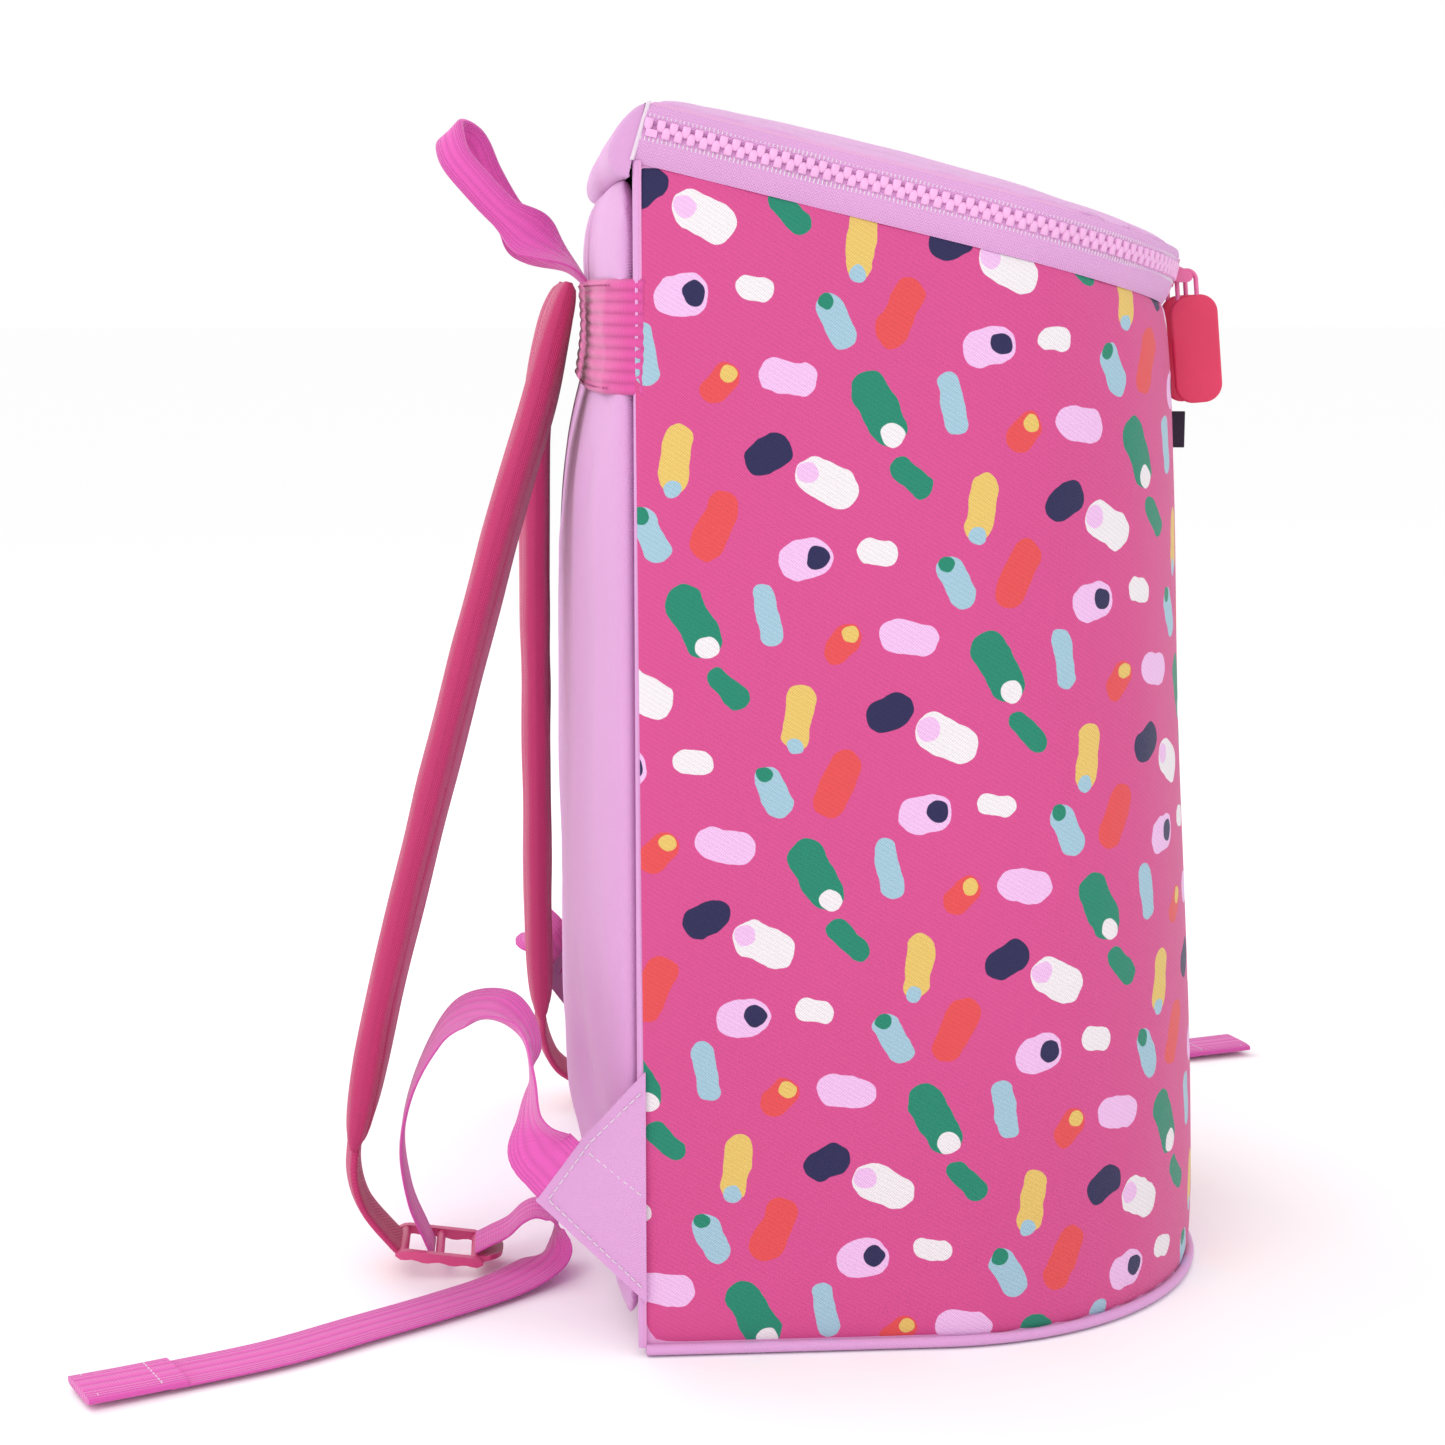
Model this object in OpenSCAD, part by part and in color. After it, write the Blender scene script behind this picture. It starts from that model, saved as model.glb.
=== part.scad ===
// School backpack with a zipped, back-hinged lid and two padded shoulder straps.
// Millimetres. X is the width, -Y the front, +Y the back, +Z up.
// The origin is the centre of the base, on the floor.

/* [Bag] */
// Width across the sides
bag_w = 300; // [260:1:330]
// Depth of the base, from the back seam to the front
base_depth = 228; // [215:1:245]
// Horizontal depth of the opening, from the back seam to the front
top_depth = 204; // [195:1:215]
// Height of the zip at the back seam
rim_h = 443; // [420:1:460]
// Slope of the lid down to the front, in degrees
lid_slope = 13.5; // [10:0.5:16]
// Plan radius of the front corners at the base
base_corner = 118; // [105:1:125]
// Plan radius of the front corners at the zip
top_corner = 95; // [85:1:100]
// Outward bow of the side and front panel
wall_bow = 2; // [0:0.5:3]
// Thickness of the printed outer cloth
cloth_t = 1.6; // [1:0.1:2]
// Thickness of the lining cloth
lining_t = 1; // [0.6:0.1:1.4]

/* [Back panel] */
// How far the padding stands out from the back seam plane
pad_out = 20; // [14:1:24]
// Depth of the dent that the anchor band pulls into the padding
band_dent = 6; // [3:1:8]
// Height of the anchor band's lower edge
band_low = 351; // [330:1:355]
// Width of the anchor band webbing
band_w = 40; // [36:1:42]

/* [Zip] */
// Spacing of the moulded teeth
tooth_pitch = 4.4; // [4:0.1:6]
// Width of the tape below the teeth
low_tape_w = 9; // [7:0.5:11]
// Width of the tape above the teeth
high_tape_w = 3; // [2:0.5:5]
// Length of a slider along the chain
slider_len = 12; // [10:0.5:14]

/* [Puller] */
// Width of the rubber tag
tag_w = 18; // [14:0.5:20]
// Length of the rubber tag
tag_len = 41; // [34:1:45]
// Thickness of the rubber tag
tag_t = 3; // [2:0.25:4]

/* [Lid] */
// Height of the lid's crown above its rim
lid_crown = 10; // [6:0.5:14]
// Thickness of the lid's foam at the middle
lid_foam_t = 6; // [4:0.5:8]

/* [Straps] */
// Width of a shoulder strap
strap_w = 56; // [48:1:60]
// Thickness of a shoulder strap at its middle
strap_t = 13; // [10:0.5:14]
// Distance from the middle to each strap's root
strap_x = 62; // [60:1:66]
// Width of the adjusting webbing
web_w = 25; // [24:0.5:26]
// Thickness of the adjusting webbing
web_t = 1.6; // [1.2:0.1:2]

/* [Grab handle] */
// Half of the distance between the handle's two legs
handle_half = 21; // [18:0.5:22]
// Length of the handle from the band to its tip
handle_len = 76; // [66:1:80]

/* [Hidden] */

// Shared places
back_y = base_depth / 2;
top_run = top_depth / cos(lid_slope);
tape_t = 0.8;
row_gap = 0.6;
tooth_h = 2.6;
tooth_t = 3;
tape_low = -(row_gap + tooth_h + low_tape_w);
tape_high = row_gap + tooth_h + high_tape_w;
side_steps = 5;
arc_steps = 12;
front_steps = 3;
wall_steps = 8;

// Colours
pale = [0.87, 0.63, 0.85];
print_pink = [0.86, 0.34, 0.61];
crimson = [0.80, 0.21, 0.43];
orchid = [0.91, 0.40, 0.80];
tooth_pink = [0.93, 0.68, 0.88];
slider_pink = [0.90, 0.45, 0.68];
loop_pink = [0.85, 0.35, 0.60];
tag_red = [0.82, 0.18, 0.35];
buckle_pink = [0.77, 0.27, 0.49];
label_black = [0.16, 0.14, 0.22];
foam_grey = [0.85, 0.85, 0.82];

// ---- plan outlines -------------------------------------------------------

// Left half of the D, from the back seam to the middle of the front
function half_d(w, d, r, off) = concat(
  [for (i = [0:side_steps - 1]) [-w / 2 + off, -(d - r) * i / side_steps]],
  [for (i = [0:arc_steps]) let (a = 90 * i / arc_steps)
    [-w / 2 + r - (r - off) * cos(a), -(d - r) - (r - off) * sin(a)]],
  [for (i = [1:front_steps]) [-(w / 2 - r) * (1 - i / front_steps), -d + off]]
);

// The whole open outline, from the left back seam round to the right one
function open_d(w, d, r, off) = let (h = half_d(w, d, r, off), n = len(h)) concat(
  h, [for (i = [n - 2:-1:0]) [-h[i][0], h[i][1]]]
);

// The outline closed by a straight back edge
function closed_d(w, d, r, off, steps = 8) = let (x = w / 2 - off) concat(
  [for (p = open_d(w, d, r, off)) [p[0], min(p[1], -off)]],
  [for (i = [1:steps - 1]) [x - 2 * x * i / steps, -off]]
);

function zip_frame_point(p) = [
  p[0],
  back_y + p[1] * cos(lid_slope) - p[2] * sin(lid_slope),
  rim_h + p[1] * sin(lid_slope) + p[2] * cos(lid_slope)
];

// Children are drawn flat, with the zip's plane as z = 0 and the back seam as y = 0
module zip_frame() {
  translate([0, back_y, rim_h]) rotate([lid_slope, 0, 0]) children();
}

// ---- sheet solid between two grids of points -----------------------------

// front and back are rows of points; loop joins the last column to the first
module sheet_solid(front, back, loop = false) {
  rows = len(front);
  cols = len(front[0]);
  last = loop ? cols : cols - 1;
  points = concat([for (row = front) each row], [for (row = back) each row]);
  base = rows * cols;
  function id(r, c) = r * cols + c % cols;
  skins = [for (r = [0:rows - 2], c = [0:last - 1]) each [
    [id(r, c), id(r, c + 1), id(r + 1, c + 1)],
    [id(r, c), id(r + 1, c + 1), id(r + 1, c)],
    [base + id(r, c), base + id(r + 1, c + 1), base + id(r, c + 1)],
    [base + id(r, c), base + id(r + 1, c), base + id(r + 1, c + 1)]
  ]];
  ends = [for (c = [0:last - 1]) each [
    [id(0, c), base + id(0, c + 1), id(0, c + 1)],
    [id(0, c), base + id(0, c), base + id(0, c + 1)],
    [id(rows - 1, c), id(rows - 1, c + 1), base + id(rows - 1, c + 1)],
    [id(rows - 1, c), base + id(rows - 1, c + 1), base + id(rows - 1, c)]
  ]];
  sides = loop ? [] : [for (r = [0:rows - 2]) each [
    [id(r, 0), id(r + 1, 0), base + id(r + 1, 0)],
    [id(r, 0), base + id(r + 1, 0), base + id(r, 0)],
    [id(r, cols - 1), base + id(r + 1, cols - 1), id(r + 1, cols - 1)],
    [id(r, cols - 1), base + id(r, cols - 1), base + id(r + 1, cols - 1)]
  ]];
  polyhedron(points, concat(skins, ends, sides));
}

// ---- bag walls -----------------------------------------------------------

wall_low = 3;
seam_gap = 0.05;

// One level of the side and front wall, t = 0 at the base and 1 at the zip tape
function wall_row(t, off) =
  let (low = open_d(bag_w, base_depth, base_corner, off))
  let (high = open_d(bag_w, top_run, top_corner, off))
  let (bow = wall_bow * 4 * t * (1 - t))
  let (mid = [0, back_y - base_depth / 3])
  [for (i = [0:len(low) - 1])
    let (a = [low[i][0], back_y + low[i][1], wall_low])
    let (b = zip_frame_point([high[i][0], high[i][1], tape_low]))
    let (p = a + (b - a) * t)
    let (dir = [p[0] - mid[0], min(p[1] - mid[1], 0)])
    let (out = dir / max(norm(dir), 1))
    let (y = min(p[1] + out[1] * bow, back_y - seam_gap))
    [p[0] + out[0] * bow, y, p[2] - (p[1] + out[1] * bow - y) * tan(lid_slope) * t]];

module wall(off, thick) {
  sheet_solid(
    [for (k = [0:wall_steps]) wall_row(k / wall_steps, off)],
    [for (k = [0:wall_steps]) wall_row(k / wall_steps, off + thick)]
  );
}

module main_panel() {
  color(print_pink) wall(0, cloth_t);
}

module main_lining() {
  color(pale) wall(cloth_t, lining_t);
}

// ---- back panel ----------------------------------------------------------

back_low = 3;
back_high = rim_h + tape_low * cos(lid_slope);
pad_cols = 18;
pad_rows = 24;
skin_t = 1.2;
band_mid = band_low + band_w / 2;

// Stand-out of the padding behind the back seam plane
function pad_bulge(x, z) =
  let (s = min(abs(x) / (bag_w / 2), 1))
  let (t = min(abs((z - (back_low + back_high) / 2) / ((back_high - back_low) / 2)), 1))
  let (dent = band_dent * exp(-pow((z - band_mid) / 30, 2)))
  pad_out * sqrt(1 - pow(t, 5)) * sqrt(1 - pow(s, 4)) - dent * (1 - pow(s, 4)) * (1 - pow(t, 5));

// Columns and rows lie closer together towards the panel's edges
function eased(i, n) = -cos(180 * i / n);

function pad_row(z, y_of) = [for (i = [0:pad_cols])
  let (x = eased(i, pad_cols) * (bag_w / 2 - 0.01)) [x, y_of(x, z), z]];

module pad_sheet(near_y, far_y) {
  zs = [for (k = [0:pad_rows])
    (back_low + back_high) / 2 + eased(k, pad_rows) * (back_high - back_low) / 2];
  sheet_solid([for (z = zs) pad_row(z, far_y)], [for (z = zs) pad_row(z, near_y)]);
}

module back_panel() {
  color(pale) pad_sheet(
    function (x, z) back_y + 2 + pad_bulge(x, z),
    function (x, z) back_y + 2 + skin_t + pad_bulge(x, z)
  );
}

module back_foam() {
  color(foam_grey) pad_sheet(
    function (x, z) back_y + 1,
    function (x, z) back_y + 2 + pad_bulge(x, z)
  );
}

module back_lining() {
  color(pale)
    translate([-bag_w / 2, back_y, back_low]) cube([bag_w, 1, back_high - back_low]);
}

// Skin of the padding at the anchor band
function band_face(x, z) = back_y + 2 + skin_t + pad_bulge(x, z);

module anchor_band() {
  gap = 0.6;
  thick = 1.6;
  zs = [for (k = [0:4]) band_low + band_w * k / 4];
  reach = 0.985;
  function row(z, off) = [for (i = [0:pad_cols])
    let (x = eased(i, pad_cols) * bag_w / 2 * reach) [x, band_face(x, z) + off, z]];
  color(orchid) sheet_solid([for (z = zs) row(z, gap + thick)], [for (z = zs) row(z, gap)]);
}

// ---- base ----------------------------------------------------------------

module base_plate(off, low, thick) {
  translate([0, back_y, low]) linear_extrude(thick) polygon(closed_d(bag_w, base_depth, base_corner, off));
}

base_t = 1.6;
board_t = 2;
piping_w = 4;

module bottom_panel() {
  color(pale) base_plate(0, 0, base_t);
}

module bottom_board() {
  color("white") base_plate(piping_w, wall_low, board_t);
}

module bottom_piping() {
  color(pale) difference() {
    base_plate(0, base_t, wall_low - base_t);
    base_plate(piping_w, 0, wall_low + 1);
  }
}

label_h = 14;
label_t = 1;
label_out = 8;
label_x = -60;
label_low = 327;

// Blank cloth tab sewn into the panel, standing out from the front
module front_label() {
  rim = zip_frame_point([0, -top_run, tape_low]);
  t = (label_low - wall_low) / (rim[2] - wall_low);
  front_y = (1 - t) * (back_y - base_depth) + t * rim[1] - wall_bow * 4 * t * (1 - t);
  color(label_black)
    translate([label_x, front_y - label_out, label_low]) cube([label_t, label_out, label_h]);
}

// ---- zip -----------------------------------------------------------------

module tape_ring(low, high) {
  inner = open_d(bag_w, top_run, top_corner, tape_t);
  zip_frame() translate([0, 0, low]) linear_extrude(high - low) polygon(concat(
    open_d(bag_w, top_run, top_corner, 0), [for (i = [len(inner) - 1:-1:0]) inner[i]]
  ));
}

side_run = top_run - top_corner;
arc_run = top_corner * PI / 2;
front_run = bag_w / 2 - top_corner;
chain_run = 2 * (side_run + arc_run + front_run);

// Place on the chain at distance s from the left back seam: [x, y, turn of the chain's line]
function chain_place(s) =
  s > chain_run / 2 ? let (m = chain_place(chain_run - s)) [-m[0], m[1], -m[2]] :
  s < side_run ? [-bag_w / 2, -s, -90] :
  s < side_run + arc_run ?
    let (a = (s - side_run) / arc_run * 90)
    [-bag_w / 2 + top_corner - top_corner * cos(a), -side_run - top_corner * sin(a), a - 90] :
  [-front_run + s - side_run - arc_run, -top_run, 0];

module tooth_row(low, shift) {
  end_space = 9;
  tooth_l = tooth_pitch / 2;
  count = floor((chain_run - 2 * end_space) / tooth_pitch);
  for (i = [0:count - 1]) {
    p = chain_place(end_space + (i + shift) * tooth_pitch);
    zip_frame() translate([p[0], p[1], low]) rotate(p[2])
      translate([-tooth_l / 2, -tooth_t / 2, 0]) cube([tooth_l, tooth_t, tooth_h]);
  }
}

module lower_zip_tape() {
  color(pale) tape_ring(tape_low, -(row_gap + tooth_h));
}

module upper_zip_tape() {
  color(pale) tape_ring(row_gap + tooth_h, tape_high);
}

module lower_zip_teeth() {
  color(tooth_pink) tooth_row(-(row_gap + tooth_h), 0);
}

module upper_zip_teeth() {
  color(tooth_pink) tooth_row(row_gap, 0.5);
}

module zip_end_stops() {
  stop_t = 3.2;
  stop_l = 4;
  from_seam = 6;
  color(tooth_pink) for (side = [-1, 1]) zip_frame()
    translate([(side * bag_w - stop_t) / 2, -from_seam, -(row_gap + tooth_h)])
      cube([stop_t, stop_l, tooth_h]);
}

// ---- sliders and pullers -------------------------------------------------

plate_t = 1.3;
plate_h = 10.5;
front_gap = 2.4;
rear_gap = 2.4;
blade_t = 0.7;
blade_share = 0.35;
pin_out = 8;
pin_r = 1.2;
lug_t = 1.2;
lug_gap = 4;
lug_h = 6;
lug_r = 2.2;
bite = 0.1;
tag_lean = 5;
left_rest = 83;
right_from_corner = 7;
right_rest = right_from_corner - front_run;

// The lug pair and its cross pin, with the chain along X and outwards along -Y
module bail() {
  root_t = 0.4;
  for (side = [-1, 1]) hull() {
    translate([side * (lug_gap + lug_t) / 2, root_t / 2 - front_gap - plate_t, 0])
      cube([lug_t, root_t, lug_h], center = true);
    translate([side * (lug_gap + lug_t) / 2, -pin_out, 0])
      rotate([0, 90, 0]) cylinder(r = lug_r, h = lug_t, center = true, $fn = 24);
  }
  translate([0, -pin_out, 0]) rotate([0, 90, 0])
    cylinder(r = pin_r, h = lug_gap + lug_t, center = true, $fn = 32);
}

// A ring sector about the corner's own axis
module corner_sector(r_in, r_out, height, angle) {
  rotate(-90 - angle / 2) rotate_extrude(angle = angle, $fn = 180)
    translate([r_in, -height / 2]) square([r_out - r_in, height]);
}

module slider_left() {
  sweep = slider_len / top_corner * 180 / PI;
  color(slider_pink) left_slider_frame() {
    translate([0, top_corner, 0]) {
      corner_sector(top_corner + front_gap, top_corner + front_gap + plate_t, plate_h, sweep);
      corner_sector(top_corner - rear_gap - plate_t, top_corner - rear_gap, plate_h, sweep);
      rotate(sweep * (1 - blade_share) / 2) corner_sector(
        top_corner - rear_gap - bite, top_corner + front_gap + bite, blade_t, sweep * blade_share);
    }
    bail();
  }
}

module slider_right() {
  color(slider_pink) right_slider_frame() {
    translate([-slider_len / 2, -front_gap - plate_t, -plate_h / 2]) cube([slider_len, plate_t, plate_h]);
    translate([-slider_len / 2, rear_gap, -plate_h / 2]) cube([slider_len, plate_t, plate_h]);
    translate([-slider_len / 2, -front_gap - bite, -blade_t / 2])
      cube([slider_len * blade_share, front_gap + rear_gap + 2 * bite, blade_t]);
    bail();
  }
}

// Chain along X, outwards along -Y, at each slider's rest place
module left_slider_frame() {
  zip_frame() translate([-front_run, -side_run, 0]) rotate(left_rest - 90)
    translate([0, -top_corner, 0]) children();
}

module right_slider_frame() {
  zip_frame() translate([right_rest, -top_run, 0]) children();
}

// Hanging frame of a puller: origin on the pin, the tag along -Z
module hang_left() {
  left_slider_frame() translate([0, -pin_out, 0]) rotate([-lid_slope - tag_lean, 0, 0]) children();
}

module hang_right() {
  right_slider_frame() translate([0, -pin_out, 0]) rotate([-lid_slope - tag_lean, 0, 0]) children();
}

wire_r = 0.9;
loop_r = 3.6;
loop_low = -(loop_r - wire_r - pin_r - 0.15);
leg_len = 5;
leg_in = 4;

module pull_loop() {
  translate([0, 0, loop_low]) rotate([90, 0, 90]) rotate_extrude(angle = 180, $fn = 48)
    translate([loop_r, 0]) circle(r = wire_r, $fn = 20);
  for (side = [-1, 1]) translate([0, side * loop_r, loop_low - leg_len - leg_in])
    cylinder(r = wire_r, h = leg_len + leg_in, $fn = 20);
}

module tag() {
  corner = 7;
  difference() {
    translate([-tag_t / 2, 0, loop_low - leg_len - tag_len]) rotate([90, 0, 90]) linear_extrude(tag_t) {
      translate([-tag_w / 2, corner]) square([tag_w, tag_len - 2 * corner]);
      translate([-tag_w / 2 + corner, 0]) square([tag_w - 2 * corner, tag_len]);
      for (x = [-1, 1], y = [corner, tag_len - corner])
        translate([x * (tag_w / 2 - corner), y]) circle(r = corner, $fn = 48);
    }
    for (side = [-1, 1]) translate([0, side * loop_r, loop_low - leg_len - leg_in])
      cylinder(r = wire_r, h = leg_in + 2, $fn = 20);
  }
}

module pull_loop_left() {
  color(loop_pink) hang_left() pull_loop();
}

module pull_loop_right() {
  color(loop_pink) hang_right() pull_loop();
}

module puller_tag_left() {
  color(tag_red) hang_left() tag();
}

module puller_tag_right() {
  color(tag_red) hang_right() tag();
}

// ---- lid -----------------------------------------------------------------

lid_rings = 8;
lid_cloth = 1;
lid_rim = tape_high + 2.2;
lid_mid = [0, -top_run * 0.42];

// Height of the lid's outer face above the zip plane, t = 0 at the rim
function lid_rise(t) = lid_rim + lid_crown * sqrt(1 - pow(1 - t, 3));

function lid_ring(t, drop) = [for (p = closed_d(bag_w, top_run, top_corner, 0.05))
  let (q = lid_mid + ([p[0], p[1]] - lid_mid) * (1 - t * 0.97))
  zip_frame_point([q[0], q[1], lid_rise(t) - drop(t)])];

// Cloth cap between two depths below the outer face, closed in the middle
module lid_layer(top_drop, low_drop) {
  ts = [for (k = [0:lid_rings]) pow(k / lid_rings, 1.6)];
  sheet_solid_disc([for (t = ts) lid_ring(t, top_drop)], [for (t = ts) lid_ring(t, low_drop)]);
}

// As sheet_solid, with the last ring of each face closed by a fan from a point on the corner's arc
module sheet_solid_disc(front, back) {
  rows = len(front);
  cols = len(front[0]);
  points = concat([for (row = front) each row], [for (row = back) each row]);
  base = rows * cols;
  function id(r, c) = r * cols + c % cols;
  skins = [for (r = [0:rows - 2], c = [0:cols - 1]) each [
    [id(r, c), id(r + 1, c + 1), id(r, c + 1)],
    [id(r, c), id(r + 1, c), id(r + 1, c + 1)],
    [base + id(r, c), base + id(r, c + 1), base + id(r + 1, c + 1)],
    [base + id(r, c), base + id(r + 1, c + 1), base + id(r + 1, c)]
  ]];
  rim = [for (c = [0:cols - 1]) each [
    [id(0, c), id(0, c + 1), base + id(0, c + 1)],
    [id(0, c), base + id(0, c + 1), base + id(0, c)]
  ]];
  hub = side_steps + arc_steps / 2;
  fan = [for (c = [hub + 1:hub + cols - 2]) each [
    [id(rows - 1, hub), id(rows - 1, c), id(rows - 1, c + 1)],
    [base + id(rows - 1, hub), base + id(rows - 1, c + 1), base + id(rows - 1, c)]
  ]];
  polyhedron(points, concat(skins, rim, fan));
}

// Depth of the foam's underside below the outer face
function foam_low(t) = lid_cloth + 0.4 + lid_foam_t * sqrt(t);

module lid_panel() {
  color(pale) lid_layer(function (t) 0, function (t) lid_cloth);
}

module lid_foam() {
  color(foam_grey) lid_layer(function (t) lid_cloth, function (t) foam_low(t));
}

module lid_lining() {
  color(pale) lid_layer(function (t) foam_low(t), function (t) foam_low(t) + 0.8);
}

// Cloth between the back panel's top edge and the lid's back edge, where the lid folds
module lid_back_strip() {
  color(pale) zip_frame() translate([-bag_w / 2, 0.3, tape_low]) cube([bag_w, 1.6, lid_rim - 0.4 - tape_low]);
}

// ---- ribbons -------------------------------------------------------------

function spline(a, b, c, d, t) = 0.5 * (2 * b + (c - a) * t + (2 * a - 5 * b + 4 * c - d) * t * t
  + (3 * b - a - 3 * c + d) * t * t * t);

// Smooth list of places through the given ones, with n steps to each stretch
function smooth(list, n) = let (m = len(list) - 1) concat(
  [for (i = [0:m - 1], k = [0:n - 1])
    spline(list[max(i - 1, 0)], list[i], list[i + 1], list[min(i + 2, m)], k / n)],
  [list[m]]
);

function unit(v) = v / norm(v);

// Frames along a route: [place, across, out]; each route entry is [place, across]
function frames(route, n) =
  let (places = smooth([for (r = route) r[0]], n), across = smooth([for (r = route) r[1]], n))
  [for (i = [0:len(places) - 1])
    let (ahead = unit(places[min(i + 1, len(places) - 1)] - places[max(i - 1, 0)]))
    let (flat = unit(across[i] - (across[i] * ahead) * ahead))
    [places[i], flat, cross(ahead, flat)]];

// Flat ribbon along a route, reaching from low to high across its thickness
module ribbon(route, width, low, high, n = 4) {
  f = frames(route, n);
  function row(depth) = [for (k = f)
    [k[0] - k[1] * width / 2 + k[2] * depth, k[0] + k[1] * width / 2 + k[2] * depth]];
  sheet_solid(row(high), row(low));
}

// Padded strip: width and depth follow s, 0 at its start and 1 at its end
module padded_ribbon(route, width_of, low, high, n = 5, cols = 8) {
  f = frames(route, n);
  m = len(f) - 1;
  function row(depth) = [for (i = [0:m]) let (s = i / m, k = f[i]) [for (c = [0:cols])
    let (e = 2 * c / cols - 1)
    k[0] + k[1] * e * width_of(s) / 2 + k[2] * depth(s, e)]];
  sheet_solid(row(high), row(low));
}

// ---- shoulder straps -----------------------------------------------------

strap_skin = 1;
strap_end_w = 40;

// Routes run down the middle of each strap's thickness
left_strap = [
  [[-strap_x, 138, 390], [1, 0, 0]],
  [[-strap_x, 143, 372], [1, 0, 0]],
  [[-61, 151, 340], [1, 0.05, 0]],
  [[-60, 166, 290], [1, 0.1, 0]],
  [[-57, 190, 200], [1, 0.1, 0]],
  [[-54, 213, 110], [1, 0.1, 0]],
  [[-52, 224, 56], [1, 0, 0]]
];
right_strap = [
  [[strap_x, 138, 390], [1, 0, 0]],
  [[strap_x + 1, 143, 372], [1, 0, -0.05]],
  [[70, 149, 340], [1, 0, 0.15]],
  [[86, 151, 280], [1, 0, 0.25]],
  [[110, 151, 200], [1, 0, 0.3]],
  [[138, 151, 110], [1, 0, 0.3]],
  [[154, 150, 56], [1, 0, 0.25]]
];
left_tab = [
  [[-52, 224, 55.5], [1, 0, 0]],
  [[-52, 226, 44], [1, 0, 0]],
  [[-51, 222, 28], [1, 0, 0]],
  [[-51, 211.5, 15], [1, 0, 0]]
];
right_tab = [
  [[154, 150, 55.5], [1, 0, 0.25]],
  [[159, 150, 42], [1, 0, 0.2]],
  [[166, 144, 24], [1, 0, 0.1]],
  [[171, 133, 13], [1, 0, 0]]
];

function strap_width(s) = strap_w - (strap_w - strap_end_w) * pow(s, 2);
function strap_half(s, e) = strap_skin + 0.4 + (strap_t / 2 - strap_skin - 0.4)
  * sqrt(max(1 - pow(abs(e), 4), 0)) * sqrt(1 - pow(abs(2 * s - 1), 12));

module strap_top(route) {
  color(crimson) padded_ribbon(route, function (s) strap_width(s),
    function (s, e) strap_half(s, e) - strap_skin, function (s, e) strap_half(s, e));
}

module strap_foam(route) {
  color(foam_grey) padded_ribbon(route, function (s) strap_width(s),
    function (s, e) strap_skin - strap_half(s, e), function (s, e) strap_half(s, e) - strap_skin);
}

module strap_under(route) {
  color(crimson) padded_ribbon(route, function (s) strap_width(s),
    function (s, e) -strap_half(s, e), function (s, e) strap_skin - strap_half(s, e));
}

module strap_top_left() { strap_top(left_strap); }
module strap_top_right() { strap_top(right_strap); }
module strap_foam_left() { strap_foam(left_strap); }
module strap_foam_right() { strap_foam(right_strap); }
module strap_under_left() { strap_under(left_strap); }
module strap_under_right() { strap_under(right_strap); }

module strap_tab_left() {
  color(crimson) ribbon(left_tab, web_w + 5, -1.5, 1.5);
}

module strap_tab_right() {
  color(crimson) ribbon(right_tab, web_w + 5, -1.5, 1.5);
}

// ---- ladder-lock buckles -------------------------------------------------

buckle_w = 34;
buckle_l = 32;
rail_t = 4;
bar_r = 1.6;
tongue_l = 9;
tip_r = 5;
rail_w = 3;

// Frame from y = 0, the strap's bar, to y = -buckle_l, with a thumb tongue beyond
module buckle_shape() {
  for (side = [-1, 1]) translate([side * (buckle_w - rail_w) / 2 - rail_w / 2, -buckle_l, -rail_t / 2])
    cube([rail_w, buckle_l, rail_t]);
  for (y = [-bar_r, -buckle_l / 2, -buckle_l + bar_r])
    translate([0, y, 0]) rotate([0, 90, 0]) cylinder(r = bar_r, h = buckle_w - 2, center = true, $fn = 24);
  translate([-web_w / 2, -buckle_l - tongue_l + tip_r, -1]) cube([web_w, tongue_l - tip_r + 1, 2]);
  translate([tip_r - web_w / 2, -buckle_l - tongue_l, -1]) cube([web_w - 2 * tip_r, tongue_l, 2]);
  for (side = [-1, 1]) translate([side * (web_w / 2 - tip_r), -buckle_l - tongue_l + tip_r, -1])
    cylinder(r = tip_r, h = 2, $fn = 32);
}

left_buckle = [-51, 208, 11];
right_buckle = [172, 127, 9];
left_tilt = 8;
right_tilt = 6;

module buckle_left() {
  color(buckle_pink) translate(left_buckle) rotate([left_tilt, 0, 0]) buckle_shape();
}

module buckle_right() {
  color(buckle_pink) translate(right_buckle) rotate([right_tilt, 0, 0]) buckle_shape();
}

// ---- gussets and webbing -------------------------------------------------

gusset_t = 3;
right_fold = 35;

// Folded triangle of cloth, flat in the YZ plane, with the seam along Z at y = 0
module gusset_shape() {
  rotate([90, 0, 90]) linear_extrude(gusset_t) polygon([[0, 21], [0, 108], [23, 84], [40, 61]]);
}

module gusset_left() {
  color(pale) translate([-bag_w / 2 - gusset_t, back_y, 0]) gusset_shape();
}

module gusset_right() {
  color(pale) translate([bag_w / 2 + seam_gap, back_y + gusset_t * 0.6, 0])
    rotate(-right_fold) gusset_shape();
}

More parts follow.
